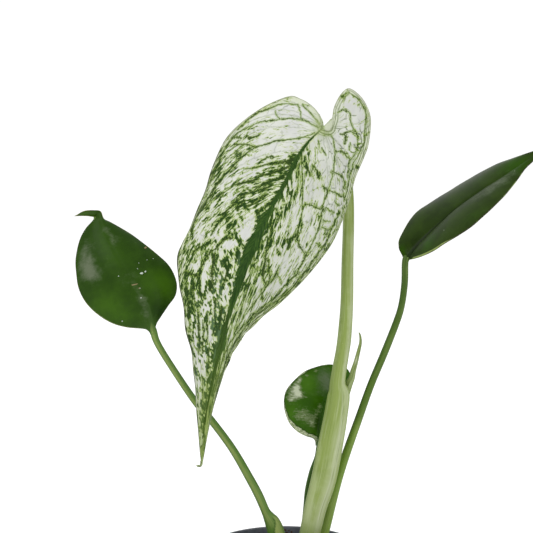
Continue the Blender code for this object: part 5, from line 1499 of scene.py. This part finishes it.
def makePot():
    pot = potShape
    wall, high, rim = pot["wall"], pot["height"], pot["rimRadius"]
    ledge = high - pot["rimHeight"]
    floor = pot["channelLift"] + wall
    rings = [
        (1.2, wall), (pot["channelIn"] - wall, wall), (pot["channelIn"] - 0.9, wall + 0.4),
        (pot["channelIn"] - 0.2, floor - 0.3), (pot["channelIn"] + 0.5, floor),
        (pot["channelOut"] - 0.5, floor), (pot["channelOut"] + 0.2, floor - 0.3),
        (pot["channelOut"] + 0.9, wall + 0.4), (pot["channelOut"] + wall, wall),
        (wallAt(wall) - wall - 1.4, wall), (wallAt(wall) - wall - 0.3, wall + 0.5), (wallAt(3) - wall, 3.0),
        (wallAt(30) - wall, 30.0), (wallAt(ledge - 1) - wall, ledge - 1), (wallAt(ledge) - wall + 0.3, ledge),
        (rim - 2.6, ledge + 0.9), (rim - 2.35, ledge + 1.7), (rim - 1.95, high - 1.4),
        (rim - 1.75, high - 0.5), (rim - 1.35, high - 0.1), (rim - 0.9, high), (rim - 0.4, high - 0.12),
        (rim - 0.06, high - 0.5), (rim, high - 1.0), (rim - 0.15, high - 3.2), (rim - 0.17, high - 3.5),
        (rim - 0.3, high - 3.7), (rim - 0.32, high - 4.0), (rim - 0.2, high - 4.2), (rim - 0.35, ledge + 0.5),
        (rim - 0.55, ledge + 0.1), (rim - 0.95, ledge - 0.1), (wallAt(ledge) + 0.5, ledge - 0.35),
        (wallAt(ledge - 1) + 0.08, ledge - 1.0)]
    for height in (60.0, 50.0, 40.0, 30.0, 20.0, 12.0):
        rings.append((wallAt(height), height))
    # a raised moulding line low on the wall, then the rounded foot and the channel under the base
    rings += [(wallAt(8.6), 8.6), (wallAt(8.3) + 0.28, 8.3), (wallAt(7.7) + 0.28, 7.7), (wallAt(7.4), 7.4),
              (wallAt(2), 2.0), (pot["baseRadius"] - 0.05, 0.9), (pot["baseRadius"] - 0.4, 0.25),
              (pot["baseRadius"] - 1.1, 0.0), (pot["channelOut"] + 0.8, 0.0), (pot["channelOut"] + 0.2, 0.25),
              (pot["channelOut"] - 0.7, pot["channelLift"] - 0.2),
              (pot["channelOut"] - 1.3, pot["channelLift"]), (pot["channelIn"] + 1.3, pot["channelLift"]),
              (pot["channelIn"] + 0.7, pot["channelLift"] - 0.2), (pot["channelIn"] - 0.2, 0.25),
              (pot["channelIn"] - 0.8, 0.0), (3.0, 0.0), (2.6, 0.35), (1.1, 0.35)]
    piece = ringBody("potShell", rings, pot["sides"])

    # drain holes through the channel, cut with one set of drills
    deselect()
    drills = []
    middle = (pot["channelIn"] + pot["channelOut"]) / 2
    for index in range(pot["holes"]):
        angle = math.tau * (index + 0.5) / pot["holes"]
        bpy.ops.mesh.primitive_cylinder_add(vertices=28, radius=pot["holeRadius"] * mm, depth=10 * mm,
                                            location=(
            middle * math.cos(angle) * mm, middle * math.sin(angle) * mm, floor * mm))
        drills.append(context.object)
    drill = joinAll(drills, drills[0])
    applyModifier(piece, "BOOLEAN", operation="DIFFERENCE", solver="EXACT", object=drill)
    bpy.data.objects.remove(drill, do_unlink=True)

    # small stacking lugs inside, under the rim band
    lugs = []
    for index in range(pot["lugs"]):
        angle = math.tau * (index + 0.25) / pot["lugs"]
        bpy.ops.mesh.primitive_cube_add(size=1.0, location=(0, 0, 0))
        lug = context.object
        lug.scale = (1.6 * mm, 1.1 * mm, 3.6 * mm)
        spot = wallAt(ledge - 1.4) - wall - 0.35
        lug.location = (spot * math.cos(angle) * mm, spot * math.sin(angle) * mm, (ledge - 1.4) * mm)
        lug.rotation_euler = (0, 0, angle)
        bpy.ops.object.transform_apply(location=True, rotation=True, scale=True)
        applyModifier(lug, "BEVEL", width=0.4 * mm, segments=3)
        lugs.append(lug)
    joinAll(lugs + [piece], piece)
    bpy.ops.object.shade_smooth_by_angle(angle=math.radians(32))
    piece.data.materials.append(potPlastic)
    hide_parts("pot")
    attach(piece, "root")
    return piece


potShell = makePot()
print("pot turned", len(potShell.data.polygons))

soilShape = {"edgeHeight": 68.6, "top": 70.3, "radius": 40.2, "bottom": 4.3, "bottomRadius": 31.0,
             "cells": 190}
# x, y and spread of each stalk's foot
stalkFeet = [(8.5, 0.0, 6.0), (-0.8, -2.0, 4.6), (17.2, 7.0, 4.2), (8.5, 8.0, 3.4)]


def soilHeight(x, y):
    away = np.hypot(x, y) / soilShape["radius"]
    flat = np.column_stack([x, y, np.zeros_like(x)])
    rough = 0.75 * lumps(flat, 9.0, 1.0, 3) + 0.55 * np.abs(lumps(flat, 2.6, 2.0, 4))
    rough += 0.16 * lumps(flat, 0.9, 3.0, 2)
    level = soilShape["top"] + (soilShape["edgeHeight"] - soilShape["top"]) * away ** 3
    byCrown = 0.5 * np.exp(-((x - 8.5) ** 2 + (y - 2.5) ** 2) / 220)
    return level + rough * smoothStep(1.0, 0.94, away) + byCrown


def makeSoil():
    shape = soilShape
    deselect()
    bpy.ops.mesh.primitive_grid_add(x_subdivisions=shape["cells"], y_subdivisions=shape["cells"], size=2.0)
    piece = context.object
    piece.name = "soilHeap"
    spots = places(piece)
    u, v = spots[:, 0], spots[:, 1]
    x, y = u * np.sqrt(1 - v * v / 2) * shape["radius"], v * np.sqrt(1 - u * u / 2) * shape["radius"]
    setPlaces(piece, np.column_stack([x, y, soilHeight(x, y)]) * mm)
    # walls down to the pot's floor, and a closed underside
    pick(piece)
    bpy.ops.object.mode_set(mode="EDIT")
    bpy.ops.mesh.select_mode(type="EDGE")
    bpy.ops.mesh.select_all(action="DESELECT")
    bpy.ops.mesh.select_non_manifold()
    bpy.ops.mesh.extrude_edges_move(TRANSFORM_OT_translate={"value": (0, 0,
        (shape["bottom"] - shape["edgeHeight"]) * mm)})
    ratio = shape["bottomRadius"] / shape["radius"]
    bpy.ops.transform.resize(value=(ratio, ratio, 0), center_override=(0, 0, shape["bottom"] * mm))
    bpy.ops.mesh.edge_face_add()
    bpy.ops.mesh.select_mode(type="VERT")
    bpy.ops.mesh.select_all(action="SELECT")
    bpy.ops.mesh.normals_make_consistent(inside=False)
    bpy.ops.object.mode_set(mode="OBJECT")
    bpy.ops.object.shade_smooth_by_angle(angle=math.radians(55))
    piece.data.materials.append(pottingMix)
    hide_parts("soil")
    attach(piece, "root")
    return piece


makeSoil()

looseBits = {
    # how many, size range in millimetres, how long and how flat, how deep they sit, and which skin
    "barkChips": {"count": 120, "size": (1.6, 4.2), "stretch": (1.0, 0.62, 0.4), "sink": 0.1, "jag": 0.2,
                  "skin": barkSkin},
    "perliteGrains": {"count": 85, "size": (0.7, 1.7), "stretch": (1.0, 0.85, 0.8), "sink": 0.25, "jag": 0.16,
                      "skin": perliteSkin},
    "soilCrumbs": {"count": 520, "size": (0.5, 1.6), "stretch": (1.0, 0.8, 0.7), "sink": 0.2, "jag": 0.28,
                   "skin": crumbSkin},
}
# crumbs that stick to the back of the wall, above the soil
stuckCrumbs = [(-1.2, 42.7, 77.2, 0.5), (0.4, 42.75, 78.1, 0.6), (1.3, 42.6, 76.6, 0.7),
               (2.6, 42.65, 77.8, 0.5), (4.1, 42.5, 77.0, 0.6), (-14.0, 40.4, 77.0, 0.5),
               (19.0, 38.2, 77.5, 0.5), (-36.0, 21.5, 76.4, 0.6), (38.2, -17.6, 77.0, 0.5),
               (-22.0, -35.6, 76.2, 0.6), (9.0, -41.2, 77.1, 0.5)]


def scatterBits(name, bits):
    # one lump modelled in three variants, then copied, each copy turned and sized its own way
    shapes = []
    for variant in range(3):
        deselect()
        bpy.ops.mesh.primitive_uv_sphere_add(segments=8, ring_count=5, radius=1.0)
        base = context.object
        spots = places(base)
        spots = np.sign(spots) * np.abs(spots) ** 0.75
        spots *= 1 + bits["jag"] * lumps(spots, 0.8, variant + 4.0, 2)[:, None] * 2
        setPlaces(base, spots * np.array(bits["stretch"]))
        shapes.append(base)
    copies = []
    total = bits["count"]
    stuck = stuckCrumbs if name == "soilCrumbs" else []
    for index in range(total + len(stuck)):
        size = rng.uniform(*bits["size"]) * rng.uniform(0.6, 1.0)
        if index < total:
            turn, away = rng.uniform(0, math.tau), math.sqrt(rng.uniform(0.0, 0.95)) * 38.6
            x, y = away * math.cos(turn), away * math.sin(turn)
            if min(math.hypot((x - fx) / spread, (y - fy) / spread) for fx, fy, spread in stalkFeet) < 1.25:
                continue
            lift = size * bits["stretch"][2] * (0.5 - bits["sink"])
            z = float(soilHeight(np.array([x]), np.array([y]))[0]) + lift
        else:
            x, y, z, size = stuck[index - total]
        copy = shapes[index % 3].copy()
        copy.data = shapes[index % 3].data.copy()
        context.scene.collection.objects.link(copy)
        copy.location = (x * mm, y * mm, z * mm)
        copy.rotation_euler = (rng.normal(0, 0.35), rng.normal(0, 0.35), rng.uniform(0, math.tau))
        copy.scale = (size * mm,) * 3
        copies.append(copy)
    for base in shapes:
        bpy.data.objects.remove(base, do_unlink=True)
    deselect()
    for copy in copies:
        copy.select_set(True)
    piece = copies[0]
    context.view_layer.objects.active = piece
    bpy.ops.object.transform_apply(location=True, rotation=True, scale=True)
    bpy.ops.object.join()
    piece = context.object
    piece.name = name
    bpy.ops.object.shade_smooth_by_angle(angle=math.radians(48))
    piece.data.materials.append(bits["skin"])
    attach(piece, "root")
    return piece


for bitName, bits in looseBits.items():
    scattered = scatterBits(bitName, bits)
    print(bitName, len(scattered.data.polygons))

crownShape = {"centre": (8.5, 2.5), "half": (16.0, 11.0), "low": 48.0, "top": 72.2, "around": 64, "rings": 40}


def makeCrown():
    # a squat rounded foot that swells up to meet each stalk
    shape = crownShape
    deselect()
    bpy.ops.mesh.primitive_uv_sphere_add(segments=shape["around"], ring_count=shape["rings"], radius=1.0)
    piece = context.object
    piece.name = "crownStub"
    spots = places(piece)
    up = spots[:, 2].copy()
    outFrom = np.hypot(spots[:, 0], spots[:, 1])
    widen = (1 - np.abs(up) ** 6) ** (1 / 6) / np.maximum(outFrom, 1e-6)
    taper = 0.7 + 0.3 * smoothStep(-1.0, 0.6, up)
    x = shape["centre"][0] + spots[:, 0] * widen * taper * shape["half"][0]
    y = shape["centre"][1] + spots[:, 1] * widen * taper * shape["half"][1]
    edge = outFrom < 1e-5
    x[edge], y[edge] = shape["centre"]
    z = (shape["low"] + shape["top"]) / 2 + up * (shape["top"] - shape["low"]) / 2
    topSide = smoothStep(0.3, 1.0, up)
    for footX, footY, spread in stalkFeet:
        z += topSide * 2.6 * np.exp(-(((x - footX) ** 2 + (y - footY) ** 2) / (spread * 1.15) ** 2) ** 1.5)
    laid = np.column_stack([x, y, z])
    bumps = lumps(laid, 4.0, 6.0, 3)
    laid[:, :2] += (laid[:, :2] - np.array(shape["centre"])) * (0.05 * bumps)[:, None]
    laid[:, 2] += 0.5 * bumps * topSide
    setPlaces(piece, laid * mm)
    applyModifier(piece, "SUBSURF", levels=1, render_levels=1)
    bpy.ops.object.shade_smooth()
    piece.data.materials.append(crownSkin)
    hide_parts("stem_crown")
    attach(piece, "root")
    return piece


makeCrown()

drySheaths = [
    # foot x and y, radius round it, start and sweep of the wrap, height, lean outward
    {"name": "drySheathMain", "at": (8.5, 0.0), "radius": 6.2, "from": 3.7, "sweep": 1.9, "height": 9.0,
     "lean": 1.8},
    {"name": "drySheathLeft", "at": (-0.8, -2.0), "radius": 5.2, "from": 2.6, "sweep": 1.8, "height": 7.0,
     "lean": 2.4},
    {"name": "drySheathRight", "at": (17.2, 7.0), "radius": 4.2, "from": -0.6, "sweep": 1.9, "height": 8.0,
     "lean": 2.0},
]


def makeDrySheath(sheath):
    # a papery strip round a stalk's foot, torn along its top
    deselect()
    bpy.ops.mesh.primitive_grid_add(x_subdivisions=44, y_subdivisions=24, size=2.0)
    piece = context.object
    piece.name = sheath["name"]
    flat = places(piece)
    around, up = (flat[:, 0] + 1) / 2, (flat[:, 1] + 1) / 2
    angle = sheath["from"] + around * sheath["sweep"]
    onLine = np.column_stack([around * 7, around * 0, around * 0])
    torn = 0.5 + 0.5 * np.sin(around * math.pi) + 0.28 * lumps(onLine, 0.7, sheath["radius"], 4)
    height = up * sheath["height"] * np.clip(torn, 0.15, None)
    out = sheath["radius"] + sheath["lean"] * (height / sheath["height"]) ** 2
    out += 0.25 * np.sin(around * 26) * up
    x = sheath["at"][0] + out * np.cos(angle)
    y = sheath["at"][1] + out * np.sin(angle) * 0.85
    setPlaces(piece, np.column_stack([x, y, 71.0 + height]) * mm)
    applyModifier(piece, "SOLIDIFY", thickness=0.3 * mm, offset=0.0)
    bpy.ops.object.shade_smooth_by_angle(angle=math.radians(50))
    piece.data.materials.append(drySkin)
    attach(piece, "root")
    return piece


for sheath in drySheaths:
    makeDrySheath(sheath)
print("soil, stem foot and dry sheaths made")


# ---- floor, lights and camera

def makeStage():
    deselect()
    bpy.ops.mesh.primitive_plane_add(size=24.0)
    floor = context.object
    floor.name = "floor"
    material, tree, skin = newMaterial("paleFloor")
    skin["Base Color"].default_value = (0.86, 0.86, 0.86, 1.0)
    skin["Roughness"].default_value = 0.9
    skin["Specular IOR Level"].default_value = 0.1
    path = put(tree, "LightPath")
    seen = larger(tree, path.outputs["Is Camera Ray"], path.outputs["Is Glossy Ray"])
    seen = larger(tree, seen, path.outputs["Is Transmission Ray"])
    glow = put(tree, "Emission", {"Color": (1.0, 1.0, 1.0, 1.0), "Strength": times(tree, seen, 0.42)})
    both = put(tree, "AddShader", {0: tree.nodes["Principled BSDF"].outputs[0], 1: glow.outputs[0]})
    plug(tree, tree.nodes["Material Output"].inputs["Surface"], both.outputs[0])
    floor.data.materials.append(material)

    world = bpy.data.worlds.new("studio")
    context.scene.world = world
    world.use_nodes = True
    tree = world.node_tree
    path = put(tree, "LightPath")
    seen = larger(tree, path.outputs["Is Camera Ray"], path.outputs["Is Transmission Ray"])
    strength = ramp(tree, seen, 0.0, 1.0, 0.72, 1.0, "LINEAR")
    plug(tree, tree.nodes["Background"].inputs["Strength"], strength)
    tree.nodes["Background"].inputs["Color"].default_value = (1.0, 1.0, 1.0, 1.0)

    for name, place, size, power in (("keyLight", (-0.7, -0.9, 1.1), 0.9, 4.5),
                                     ("fillLight", (0.9, -0.8, 0.6), 0.9, 2.2),
                                     ("backLight", (0.2, 1.0, 0.9), 0.8, 2.5)):
        lamp = bpy.data.lights.new(name, "AREA")
        lamp.shape = "DISK"
        lamp.size = size
        lamp.energy = power
        holder = bpy.data.objects.new(name, lamp)
        context.scene.collection.objects.link(holder)
        holder.location = place
        holder.rotation_euler = (Vector((0, 0, 0.2)) - Vector(place)).to_track_quat("-Z", "Y").to_euler()

    lens = bpy.data.cameras.new("camera")
    lens.lens = 130.2
    lens.sensor_width = 36.0
    lens.clip_start = 0.05
    lens.clip_end = 60.0
    camera = bpy.data.objects.new("camera", lens)
    context.scene.collection.objects.link(camera)
    camera.location = (-0.010, -1.0, 0.42)
    camera.rotation_euler = (Vector((-0.010, 0.0, 0.237)) - camera.location).to_track_quat("-Z",
        "Y").to_euler()
    context.scene.camera = camera
    context.scene.view_settings.view_transform = "Standard"


makeStage()
print("stage set")

deselect()
